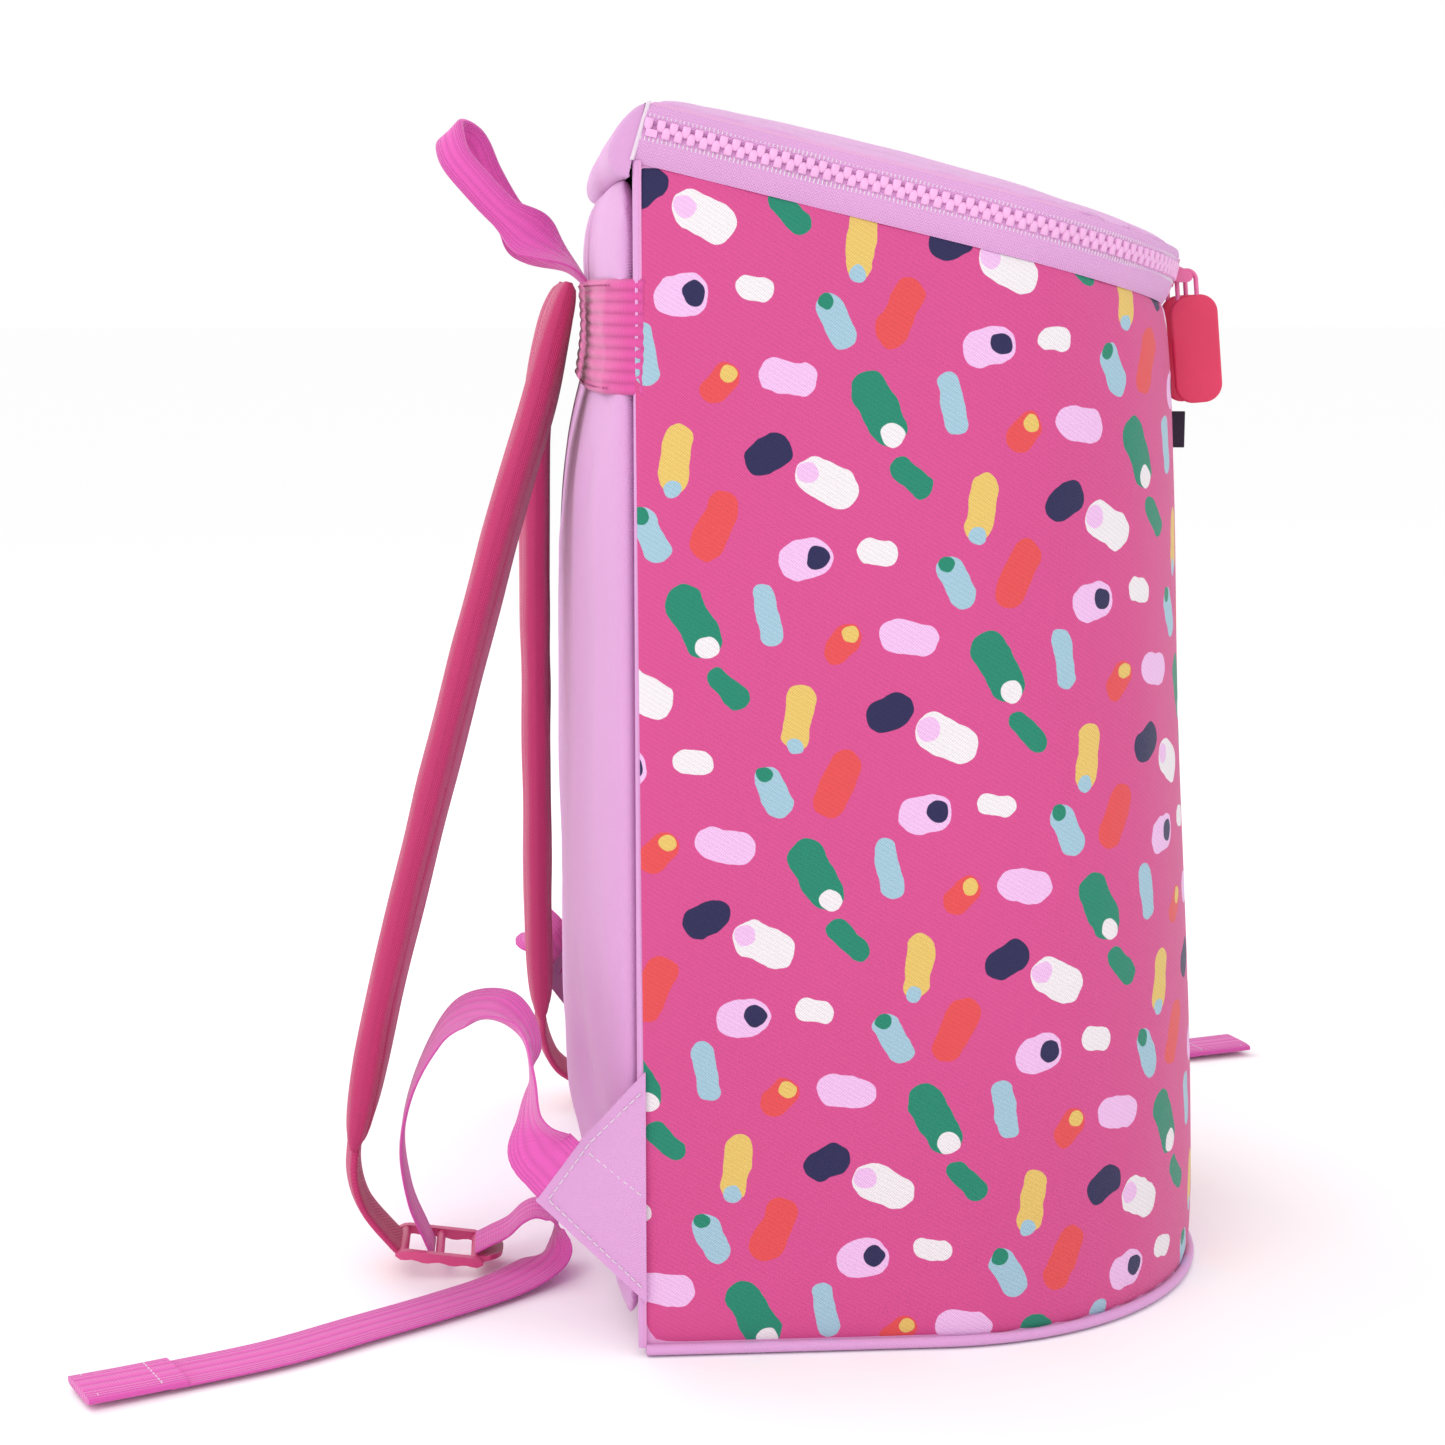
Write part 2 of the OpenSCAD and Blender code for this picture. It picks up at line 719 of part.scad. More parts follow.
left_webbing = [
  [[-151.5, 148, 75], [0, 0.6, -0.8]],
  [[-151, 152.5, 80.5], [0, 0.65, -0.75]],
  [[-149.5, 155.5, 91.5], [0.4, 0.65, -0.5]],
  [[-146, 155, 106], [0.9, 0.4, -0.1]],
  [[-135, 158, 118], [1, 0.2, 0]],
  [[-112, 170, 122], [1, 0.15, 0.1]],
  [[-91, 186, 112], [1, 0.1, 0]],
  [[-74, 199, 87], [1, 0, 0]],
  [[-61, 206, 58], [1, 0, 0]],
  [[-53, 204, 32], [1, 0, 0]],
  [[-51, 198, 15], [1, 0, 0]]
];
right_webbing = [
  [[172.3, 142.6, 75.5], [0.35, 0.5, -0.8]],
  [[176, 146, 80], [0.35, 0.5, -0.8]],
  [[186, 151, 82], [0.3, 0.3, -0.9]],
  [[195, 147, 70], [0.9, 0, -0.4]],
  [[195, 136, 50], [1, 0, 0]],
  [[184, 122, 32], [1, 0, 0]],
  [[175.5, 114.8, 19], [1, 0, 0]]
];
left_tail = [
  [[-51, 165, 13], [1, 0, 0]],
  [[-51, 160, 20.5], [1, 0, 0]],
  [[-51, 153, 23.5], [1, 0, 0]],
  [[-52, 146.5, 20], [1, 0, 0]],
  [[-55, 146, 12.5], [1, 0.1, 0]],
  [[-63, 150, 6], [0.9, 0.3, 0]],
  [[-79, 166, 2.4], [0.8, 0.6, 0]],
  [[-98, 189, 2], [0.8, 0.6, 0]],
  [[-120, 219, 2], [0.8, 0.6, 0]],
  [[-143, 251, 2], [0.85, 0.5, 0]],
  [[-162, 289, 2], [0.87, 0.47, 0]]
];
right_tail = [
  [[172, 78, 4], [1, 0, 0]],
  [[172, 62, 3], [1, 0.1, 0]],
  [[176, 30, 2], [1, 0.2, 0]],
  [[192, -40, 2], [1, 0.27, 0]],
  [[212, -110, 2], [1, 0.27, 0]],
  [[231, -181, 2], [1, 0.27, 0]]
];
end_fold = 30;
hem_gap = 1;

// Hem at a tail's end: the webbing doubled over, past the route's last place
module tail_end(route) {
  n = len(route) - 1;
  ahead = unit(route[n][0] - route[n - 1][0]);
  flat = route[n][1];
  start = route[n][0] + ahead * hem_gap;
  color(orchid) ribbon([[start, flat], [start + ahead * end_fold, flat]], web_w, -web_t / 2, web_t * 1.5);
}

module webbing_left() { color(orchid) ribbon(left_webbing, web_w, -web_t / 2, web_t / 2); }
module webbing_right() { color(orchid) ribbon(right_webbing, web_w, -web_t / 2, web_t / 2); }
module tail_left() { color(orchid) ribbon(left_tail, web_w, -web_t / 2, web_t / 2); }
module tail_right() { color(orchid) ribbon(right_tail, web_w, -web_t / 2, web_t / 2); }
module tail_end_left() { tail_end(left_tail); }
module tail_end_right() { tail_end(right_tail); }

// ---- grab handle ---------------------------------------------------------

handle_root = [0, 133, 393];
handle_rise = 46;
handle_fold = 12;

module grab_handle() {
  // Down one leg, across the tip and back, in a plane that leans out from the bag
  straight = handle_len - handle_half;
  path = concat(
    [for (k = [0:5]) [-handle_half, straight * k / 5, -90]],
    [for (k = [1:11]) let (a = 180 - 15 * k)
      [handle_half * cos(a), straight + handle_half * sin(a), a - 270]],
    [for (k = [0:5]) [handle_half, straight * (1 - k / 5), -270]]
  );
  n = len(path) - 1;
  function width_at(s) = web_w - handle_fold * pow(sin(180 * s), 2);
  function thick_at(s) = web_t + 1.8 * pow(sin(180 * s), 2);
  function lift(p, h) = handle_root + [p[0], p[1] * cos(handle_rise) - h * sin(handle_rise),
    p[1] * sin(handle_rise) + h * cos(handle_rise)];
  function row(side) = [for (i = [0:n])
    let (s = i / n, p = path[i], out = [sin(p[2]), -cos(p[2])], w = width_at(s) / 2)
    [for (e = [-1, 1]) lift([p[0], p[1]] + [cos(p[2] + 90) * e * w, sin(p[2] + 90) * e * w],
      side * thick_at(s) / 2)]];
  color(orchid) sheet_solid(row(1), row(-1));
}

main_panel();
main_lining();
back_panel();
back_foam();
back_lining();
bottom_panel();
bottom_board();
bottom_piping();
front_label();
lower_zip_tape();
lower_zip_teeth();
zip_end_stops();
anchor_band();
gusset_left();
gusset_right();
lid_back_strip();
lid_panel();
lid_foam();
lid_lining();
upper_zip_tape();
upper_zip_teeth();
slider_left();
slider_right();
pull_loop_left();
pull_loop_right();
puller_tag_left();
puller_tag_right();
grab_handle();
strap_top_left();
strap_foam_left();
strap_under_left();
strap_tab_left();
strap_top_right();
strap_foam_right();
strap_under_right();
strap_tab_right();
buckle_left();
buckle_right();
webbing_left();
webbing_right();
tail_left();
tail_right();
tail_end_left();
tail_end_right();
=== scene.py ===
import bpy
import bmesh
from math import sin, cos, pi, radians, exp, sqrt
from mathutils import Vector, Matrix, noise


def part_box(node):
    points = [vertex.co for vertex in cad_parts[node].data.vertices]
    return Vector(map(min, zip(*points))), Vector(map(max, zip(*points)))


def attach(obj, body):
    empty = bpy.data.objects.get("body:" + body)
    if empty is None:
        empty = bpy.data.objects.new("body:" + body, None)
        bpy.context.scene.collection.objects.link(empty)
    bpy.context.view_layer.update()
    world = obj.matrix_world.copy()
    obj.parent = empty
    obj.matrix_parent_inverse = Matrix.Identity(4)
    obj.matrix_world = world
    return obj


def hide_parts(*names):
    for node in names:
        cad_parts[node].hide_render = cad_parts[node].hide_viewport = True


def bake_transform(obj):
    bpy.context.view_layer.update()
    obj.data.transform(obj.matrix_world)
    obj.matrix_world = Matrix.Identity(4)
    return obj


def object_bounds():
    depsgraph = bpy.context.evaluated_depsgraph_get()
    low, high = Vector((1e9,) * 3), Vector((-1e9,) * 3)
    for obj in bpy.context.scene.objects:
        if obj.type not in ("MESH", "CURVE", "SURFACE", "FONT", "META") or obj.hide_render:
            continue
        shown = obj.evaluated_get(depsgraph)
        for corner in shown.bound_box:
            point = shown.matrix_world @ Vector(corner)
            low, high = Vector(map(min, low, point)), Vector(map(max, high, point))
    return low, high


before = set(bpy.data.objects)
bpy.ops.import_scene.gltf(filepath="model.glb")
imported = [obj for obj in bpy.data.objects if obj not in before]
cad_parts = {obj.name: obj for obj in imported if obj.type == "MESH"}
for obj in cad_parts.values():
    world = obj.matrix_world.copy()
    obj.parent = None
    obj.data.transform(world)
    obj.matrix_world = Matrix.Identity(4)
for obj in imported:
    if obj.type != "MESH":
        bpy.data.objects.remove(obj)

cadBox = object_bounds()
mm = 0.001


view = {
    "place": (-1.0975, 0.1556, 0.386),
    "turn": 4.2,       # degrees round from the bag's side towards its front
    "dip": 9.0,        # degrees down
    "lens": 67.5,
}
studio = {
    "key": ((-1.4, 0.9, 1.4), 1.2, 11, (1.0, 0.985, 0.97)),
    "fill": ((-1.3, -1.2, 0.8), 1.2, 3, (0.97, 0.985, 1.0)),
    "back": ((0.8, 0.9, 1.2), 1.0, 6, (1.0, 1.0, 1.0)),
    "world": 1.0,
}


def addCamera():
    turn, dip = radians(view["turn"]), radians(view["dip"])
    ahead = Vector((cos(turn) * cos(dip), -sin(turn) * cos(dip), -sin(dip)))
    bpy.ops.object.camera_add(location=view["place"])
    camera = bpy.context.object
    camera.rotation_euler = ahead.to_track_quat("-Z", "Y").to_euler()
    camera.data.lens = view["lens"]
    camera.data.sensor_width = 36
    camera.data.clip_start = 0.05
    bpy.context.scene.camera = camera


def addLight(name):
    place, size, power, colour = studio[name]
    bpy.ops.object.light_add(type="AREA", location=place)
    lamp = bpy.context.object
    lamp.name = name
    aim = Vector((0, 0, 0.22)) - Vector(place)
    lamp.rotation_euler = aim.to_track_quat("-Z", "Y").to_euler()
    lamp.data.size = size
    lamp.data.energy = power
    lamp.data.color = colour


addCamera()
for lampName in ("key", "fill", "back"):
    addLight(lampName)
world = bpy.data.worlds.new("studio")
world.use_nodes = True
world.node_tree.nodes["Background"].inputs["Color"].default_value = (1, 1, 1, 1)
world.node_tree.nodes["Background"].inputs["Strength"].default_value = studio["world"]
bpy.context.scene.world = world
bpy.context.scene.view_settings.view_transform = "Standard"
print("camera and lights are in place")


def linear(colour):
    # from the values of a colour picker to the shader's own
    return tuple(c / 12.92 if c <= 0.04045 else ((c + 0.055) / 1.055) ** 2.4 for c in colour) + (1.0,)


class Wire:
    # a socket that can be written in sums
    def __init__(self, tree, socket):
        self.tree = tree
        self.socket = socket

    def node(self, kind, settings=None, **inputs):
        made = self.tree.nodes.new("ShaderNode" + kind)
        for key, value in (settings or {}).items():
            setattr(made, key, value)
        for key, value in inputs.items():
            number = key[1:]
            socket = made.inputs[int(number)] if key[0] == "i" and number.isdigit() else made.inputs[key]
            if isinstance(value, Wire):
                self.tree.links.new(value.socket, socket)
            else:
                socket.default_value = value
        return made

    def out(self, kind, settings=None, output=0, **inputs):
        return Wire(self.tree, self.node(kind, settings, **inputs).outputs[output])

    def math(self, operation, a, b=0.0, c=0.0, clamp=False):
        return self.out("Math", {"operation": operation, "use_clamp": clamp}, i0=a, i1=b, i2=c)

    def vector(self, operation, a, b=(0, 0, 0), output=0):
        return self.out("VectorMath", {"operation": operation}, output, i0=a, i1=b)

    def __add__(self, other):
        return self.math("ADD", self, other)

    def __radd__(self, other):
        return self.math("ADD", other, self)

    def __sub__(self, other):
        return self.math("SUBTRACT", self, other)

    def __rsub__(self, other):
        return self.math("SUBTRACT", other, self)

    def __mul__(self, other):
        return self.math("MULTIPLY", self, other)

    def __rmul__(self, other):
        return self.math("MULTIPLY", other, self)

    def __truediv__(self, other):
        return self.math("DIVIDE", self, other)

    def sine(self):
        return self.math("SINE", self)

    def part(self):
        return self.math("FRACT", self)

    def size(self):
        return self.math("ABSOLUTE", self)

    def clamped(self):
        return self.math("ADD", self, 0.0, clamp=True)

    def mixed(self, a, b):
        # colour a where this is 0 and b where it is 1
        a, b = (x if isinstance(x, Wire) else linear(x) for x in (a, b))
        return self.out("Mix", {"data_type": "RGBA"}, output=2, i0=self, i6=a, i7=b)


class Finish:
    # one Principled material with its coordinates ready
    def __init__(self, name, coords="UV", **constants):
        self.material = bpy.data.materials.new(name)
        self.material.use_nodes = True
        tree = self.material.node_tree
        self.shader = tree.nodes["Principled BSDF"]
        for key, value in constants.items():
            self.shader.inputs[key.replace("_", " ")].default_value = value
        start = Wire(tree, None)
        texture = start.node("TexCoord")
        self.place = Wire(tree, texture.outputs[coords])
        self.solid = Wire(tree, texture.outputs["Object"])
        split = start.node("SeparateXYZ", None, i0=self.place)
        self.u, self.v = (Wire(tree, split.outputs[k]) for k in (0, 1))
        if coords == "Object":
            # a piece without its own map takes its weave round the walls and up
            self.u, self.v = self.u + self.v, Wire(tree, split.outputs[2]) + self.v * 0.4
        self.tree = tree

    def feed(self, name, value):
        self.tree.links.new(value.socket, self.shader.inputs[name])

    def noise(self, scale, detail=2.0, where=None):
        where = where or self.solid
        return where.out("TexNoise", {"noise_dimensions": "3D"}, Vector=where, Scale=scale, Detail=detail)

    def bump(self, height, strength, distance):
        self.feed("Normal", height.out("Bump", None, Strength=strength, Distance=distance, Height=height))


def plainWeave(finish, pitch):
    # 1 at the top of a thread and 0 between threads
    k = 2 * pi / pitch
    return (finish.u * k).sine() * (finish.v * k).sine() * 0.5 + 0.5


def twillWeave(finish, pitch, slant=1.0):
    k = 2 * pi / pitch
    cross = (finish.u * k * 1.7).sine() * 0.25
    return ((finish.u * slant + finish.v) * k).sine() * 0.35 + cross + 0.5


def clothFinish(name, colour, height, depth=0.5, threadShade=0.13, roughness=0.72, sheen=0.25, wear=0.06,
                coords="UV"):
    # height is a function that draws the weave
    finish = Finish(name, coords, Sheen_Weight=sheen, Sheen_Roughness=0.4, Specular_IOR_Level=0.3)
    threads = height(finish)
    cloud = finish.noise(9.0) - 0.5
    fuzz = finish.noise(900.0, 1.0) - 0.5
    # the weave's thread tops are painted lighter and the gaps between threads darker: painted shade, mixed
    # with random cloudy tone and fuzz
    tone = threads * threadShade + cloud * wear * 2 + fuzz * 0.05 + (0.5 - threadShade / 2)
    dark = tuple(c * 0.72 for c in colour)
    light = tuple(min(1, c * 1.12 + 0.03) for c in colour)
    finish.feed("Base Color", tone.mixed(dark, light))
    finish.feed("Roughness", cloud * 0.12 + roughness)
    finish.bump(threads, depth, 0.0004)
    return finish.material


def mouldedFinish(name, colour, roughness=0.35, grain=0.12, specular=0.5, coat=0.0):
    finish = Finish(name, "Object", Specular_IOR_Level=specular, Coat_Weight=coat, Coat_Roughness=0.2)
    cloud = finish.noise(60.0) - 0.5
    fine = finish.noise(2200.0, 2.0)
    scuff = (finish.noise(320.0, 6.0) * 4 - 2.3).clamped()
    tone = cloud * 0.25 + 0.5
    dark = tuple(c * 0.86 for c in colour)
    light = tuple(min(1, c * 1.1 + 0.02) for c in colour)
    finish.feed("Base Color", (tone + scuff * 0.2).mixed(dark, light))
    finish.feed("Roughness", cloud * 0.1 + scuff * 0.18 + roughness)
    finish.bump(fine, grain, 0.0002)
    return finish.material


inks = {
    "pink": (0.800, 0.285, 0.535), "lilac": (0.890, 0.710, 0.880), "sky": (0.600, 0.735, 0.800),
    "cream": (0.890, 0.865, 0.880), "corn": (0.855, 0.725, 0.390), "leaf": (0.090, 0.500, 0.400),
    "ink": (0.130, 0.120, 0.300), "coral": (0.850, 0.285, 0.300),
}
cloth = {
    "repeat": (112, 168),   # millimetres across, and up for two half-dropped rows
    "slant": -9,            # degrees that the rows lean on the cut cloth
    "across": 4, "up": 3,   # dabs in one cell of the repeat
    "stray": 3.2,           # how far a dab sits off its place in the row, in millimetres
    "ragged": 1.3,          # how far the dabs' edges wander, in millimetres
    "weave": 1.05,          # millimetres
}
dabInks = ("cream", "sky", "coral", "lilac", "leaf", "corn", "ink")


def layDabs():
    # plain rounded dabs in staggered rows, every second one with a spot of another ink at its end
    stepX = cloth["repeat"][0] / cloth["across"]
    stepY = cloth["repeat"][1] / 2 / cloth["up"]
    dabs = []
    for row in range(cloth["up"]):
        for col in range(cloth["across"]):
            i = row * cloth["across"] + col
            x = (col + row / cloth["up"]) * stepX + cloth["stray"] * sin(2.4 * i)
            y = row * stepY + cloth["stray"] * cos(3.1 * i)
            way = Vector((cos(2.2 * i), sin(2.2 * i))) * (3 + 2 * (i % 3))
            radius = 4.2 + 0.9 * (i % 4)
            layers = [(dabInks[i % 7], (*-way, *way, radius))]
            if i % 2:
                layers.append((dabInks[(i + 3) % 7], (*(way * 1.5), radius * 0.6)))
            dabs.append(((x, y), layers))
    return dabs


def printFinish():
    finish = Finish("printed canvas", Sheen_Weight=0.2, Sheen_Roughness=0.4, Specular_IOR_Level=0.3)
    wide, tall = cloth["repeat"]
    slant = radians(cloth["slant"])
    flat = finish.place.vector("SCALE", finish.place)
    flat.socket.node.inputs["Scale"].default_value = 1 / mm
    wander = flat.out("TexNoise", {"noise_dimensions": "2D"}, output=1, Vector=flat, Scale=0.11, Detail=1.5)
    wander = wander.vector("SUBTRACT", wander, (0.5, 0.5, 0.5))
    wander = wander.vector("MULTIPLY", wander, (2 * cloth["ragged"],) * 3)
    flat = flat.vector("ADD", flat, wander)
    # lattice places: one step along the first axis is a repeat across, along the second half a repeat up
    x = flat.vector("DOT_PRODUCT", flat, (cos(slant), sin(slant), 0), output=1)
    y = flat.vector("DOT_PRODUCT", flat, (-sin(slant), cos(slant), 0), output=1)
    lattice = x.out("CombineXYZ", None, i0=x / wide - y / tall, i1=y * (2 / tall), i2=0.0)
    colour = None
    middle = Vector((wide * 0.75, tall / 4))
    for (dabX, dabY), layers in layDabs():
        start = (0.5 - dabX / wide + dabY / tall, 0.5 - 2 * dabY / tall, 0)
        cell = lattice.vector("ADD", lattice, start)
        cell = cell.vector("FRACTION", cell)
        px = cell.vector("DOT_PRODUCT", cell, (wide, wide / 2, 0), output=1)
        py = cell.vector("DOT_PRODUCT", cell, (0, tall / 2, 0), output=1)
        here = px.out("CombineXYZ", None, i0=px, i1=py, i2=0.0)
        for inkName, stroke in layers:
            away = strokeDistance(here, stroke, middle)
            mask = away.math("MULTIPLY_ADD", away, -4.0, 0.5, clamp=True)
            colour = mask.mixed(colour or inks["pink"], inks[inkName])
        # a vanishing share of the last mask makes the renderer take the dabs one after another
        lattice = lattice.vector("ADD", lattice, mask * 1e-7)
    threads = plainWeave(finish, cloth["weave"] * mm)
    ribs = ((finish.u * 0.6 + finish.v) * (2 * pi / (1.9 * mm))).sine()
    cloud = finish.noise(7.0) - 0.5
    shade = threads * 0.20 + ribs * 0.035 + cloud * 0.10 + 0.885
    tint = shade.out("CombineXYZ", None, i0=shade, i1=shade, i2=shade)
    finish.feed("Base Color", colour.vector("MULTIPLY", colour, tint))
    finish.feed("Roughness", cloud * 0.1 + 0.66)
    finish.bump(threads, 0.55, 0.0004)
    return finish.material


def strokeDistance(here, stroke, middle):
    # how far a point is outside one spot or stroke, in millimetres
    spots = zip(stroke[:-1:2], stroke[1:-1:2])
    ends = [(Vector(spot) + middle).to_3d() for spot in spots]
    if len(ends) == 1:
        return here.vector("DISTANCE", here, ends[0], output=1) - stroke[-1]
    start, run = ends[0], ends[1] - ends[0]
    away = here.vector("SUBTRACT", here, start)
    along = away.vector("DOT_PRODUCT", away, run / run.length_squared, output=1).clamped()
    foot = along.node("VectorMath", {"operation": "SCALE"}, i0=run, Scale=along)
    return away.vector("DISTANCE", away, Wire(here.tree, foot.outputs[0]), output=1) - stroke[-1]


def herringbone(finish):
    # twill that turns back every few millimetres across the strap
    stripe = ((finish.u / 0.011).part() - 0.5).size() * 0.011
    fine = (finish.v * (2 * pi / 0.0007)).sine() * 0.1
    return ((stripe + finish.v) * (2 * pi / 0.0014)).sine() * 0.4 + fine + 0.5


def webbingWeave(finish):
    # lengthwise ribs, crossed by the weft
    rib = ((finish.u * (pi / 0.0024)).sine()).size()
    weft = (finish.v * (2 * pi / 0.0011)).sine() * 0.5 + 0.5
    return rib * 0.65 + weft * rib * 0.35


def knit(finish):
    # small slanted stitches that turn back in narrow columns
    column = ((finish.u / 0.0022).part() - 0.5).size() * 0.0022
    return ((finish.v * 1.0 + column * 1.3) * (2 * pi / 0.0011)).sine() * 0.45 + 0.5


dyes = {
    "pale": (0.860, 0.625, 0.835), "strap": (0.760, 0.200, 0.420), "orchid": (0.850, 0.330, 0.680),
    "tooth": (0.880, 0.650, 0.830), "thread": (0.945, 0.820, 0.925), "slider": (0.830, 0.370, 0.580),
    "band": (0.810, 0.285, 0.580),
    "tag": (0.815, 0.200, 0.350), "buckle": (0.790, 0.275, 0.480), "label": (0.17, 0.14, 0.22),
    "board": (0.93, 0.92, 0.90), "lining": (0.86, 0.60, 0.80),
}
printCloth = printFinish()
paleCloth = clothFinish("pale cloth", dyes["pale"], lambda f: plainWeave(f, 1.0 * mm), threadShade=0.16)
paleSolid = clothFinish("pale base cloth", dyes["pale"], lambda f: plainWeave(f, 1.0 * mm), coords="Object")
liningSolid = clothFinish("lining cloth", dyes["lining"], lambda f: plainWeave(f, 0.8 * mm), depth=0.3,
                          coords="Object")
strapCloth = clothFinish("strap cloth", dyes["strap"], herringbone, depth=0.6, threadShade=0.24)
webbing = clothFinish("webbing", dyes["orchid"], webbingWeave, depth=0.8, threadShade=0.22, sheen=0.35)
bandCloth = clothFinish("band webbing", dyes["band"], webbingWeave, depth=0.8, threadShade=0.34, sheen=0.35)
zipCloth = clothFinish("zip tape", dyes["pale"], knit, depth=0.6, threadShade=0.30)
threadCloth = clothFinish("sewing thread", dyes["thread"], lambda f: twillWeave(f, 0.5 * mm), depth=0.3)
labelCloth = clothFinish("label cloth", dyes["label"], lambda f: twillWeave(f, 0.8 * mm), threadShade=0.2)
boardStuff = mouldedFinish("board", dyes["board"], roughness=0.6)
toothPlastic = mouldedFinish("zip plastic", dyes["tooth"], roughness=0.32)
sliderPaint = mouldedFinish("painted metal", dyes["slider"], roughness=0.28, coat=0.3)
tagRubber = mouldedFinish("puller rubber", dyes["tag"], roughness=0.5, grain=0.25, specular=0.35)
bucklePlastic = mouldedFinish("buckle plastic", dyes["buckle"], roughness=0.38)
print("materials are ready")


def addFloor():
    bpy.ops.object.select_all(action="DESELECT")
    bpy.ops.mesh.primitive_plane_add(size=60, location=(0, 0, cadBox[0].z - 0.0002))
    floorPlane = bpy.context.object
    floorPlane.name = "floor"
    finish = Finish("pale floor", "Object", Specular_IOR_Level=0.0)
    tone = finish.noise(3.0) * 0.04 + 0.48
    finish.feed("Base Color", tone.mixed((0.985, 0.985, 0.985), (1.0, 1.0, 1.0)))
    finish.feed("Roughness", tone * 0.2 + 0.6)
    floorPlane.data.materials.append(finish.material)


addFloor()


def clearSelection():
    if bpy.context.object and bpy.context.object.mode != "OBJECT":
        bpy.ops.object.mode_set(mode="OBJECT")
    bpy.ops.object.select_all(action="DESELECT")


def pick(piece):
    clearSelection()
    piece.select_set(True)
    bpy.context.view_layer.objects.active = piece


def applyModifier(piece, name, kind, **settings):
    pick(piece)
    modifier = piece.modifiers.new(name, kind)
    for key, value in settings.items():
        setattr(modifier, key, value)
    bpy.ops.object.modifier_apply(modifier=modifier.name)


def roundEdges(piece, width, segments, degrees):
    applyModifier(piece, "edge", "BEVEL", width=width, segments=segments, limit_method="ANGLE",
                  angle_limit=radians(degrees))


def makeSheet(name, cols, rows, place, size, thick=0.0, offset=-1.0, wraps=False):
    # a grid shaped by place(u, v), with size as its real width and length for the UVs
    clearSelection()
    bpy.ops.mesh.primitive_grid_add(x_subdivisions=cols, y_subdivisions=rows, size=1)
    piece = bpy.context.object
    piece.name = piece.data.name = name
    mesh = piece.data
    spots = [(v.co.x + 0.5, v.co.y + 0.5) for v in mesh.vertices]
    uvs = mesh.uv_layers.active.data
    for loop in mesh.loops:
        u, v = spots[loop.vertex_index]
        uvs[loop.index].uv = (u * size[0], v * size[1])
    for vertex, (u, v) in zip(mesh.vertices, spots):
        vertex.co = place(u, v)
    if wraps:
        closeTube(piece)
    if thick:
        applyModifier(piece, "thickness", "SOLIDIFY", thickness=thick, offset=offset)
    pick(piece)
    bpy.ops.object.shade_smooth_by_angle(angle=radians(50))
    return piece


def closeTube(piece):
    pick(piece)
    bpy.ops.object.mode_set(mode="EDIT")
    bpy.ops.mesh.select_all(action="SELECT")
    bpy.ops.mesh.remove_doubles(threshold=1e-5)
    bpy.ops.mesh.fill_holes(sides=0)
    bpy.ops.mesh.select_all(action="SELECT")
    bpy.ops.mesh.normals_make_consistent(inside=False)
    bpy.ops.object.mode_set(mode="OBJECT")


def finishPiece(piece, material, body, nodes=()):
    piece.data.materials.clear()
    piece.data.materials.append(material)
    if body:
        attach(piece, body)
    if nodes:
        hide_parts(*nodes)
    return piece


def shadeSmooth(piece, degrees=50):
    pick(piece)
    bpy.ops.object.shade_smooth_by_angle(angle=radians(degrees))


def recalculate(piece):
    pick(piece)
    bpy.ops.object.mode_set(mode="EDIT")
    bpy.ops.mesh.select_all(action="SELECT")
    bpy.ops.mesh.normals_make_consistent(inside=False)
    bpy.ops.object.mode_set(mode="OBJECT")


def joined(name, pieces):
    clearSelection()
    for piece in pieces:
        piece.select_set(True)
    bpy.context.view_layer.objects.active = pieces[0]
    bpy.ops.object.join()
    pieces[0].name = pieces[0].data.name = name
    return pieces[0]


def repeated(name, model, places):
    # one mesh with a copy of the model at each place; the model goes
    shape = bmesh.new()
    for place in places:
        copy = model.data.copy()
        copy.transform(place)
        shape.from_mesh(copy)
        bpy.data.meshes.remove(copy)
    mesh = bpy.data.meshes.new(name)
    shape.to_mesh(mesh)
    shape.free()
    piece = bpy.data.objects.new(name, mesh)
    bpy.context.scene.collection.objects.link(piece)
    bpy.data.objects.remove(model)
    shadeSmooth(piece)
    return piece


def facing(place, along, out):
    # matrix of a copy at place whose X runs along and whose Z points out
    x = along.normalized()
    z = (out - x * out.dot(x)).normalized()
    turn = Matrix((x, z.cross(x), z)).transposed().to_4x4()
    return Matrix.Translation(place) @ turn


def wander(place, scale, size):
    # smooth seeded unevenness
    return noise.noise(Vector(place) / scale) * size


def spline(a, b, c, d, t):
    square, cube = 2 * a - 5 * b + 4 * c - d, 3 * b - a - 3 * c + d
    return 0.5 * (2 * b + (c - a) * t + square * t * t + cube * t ** 3)


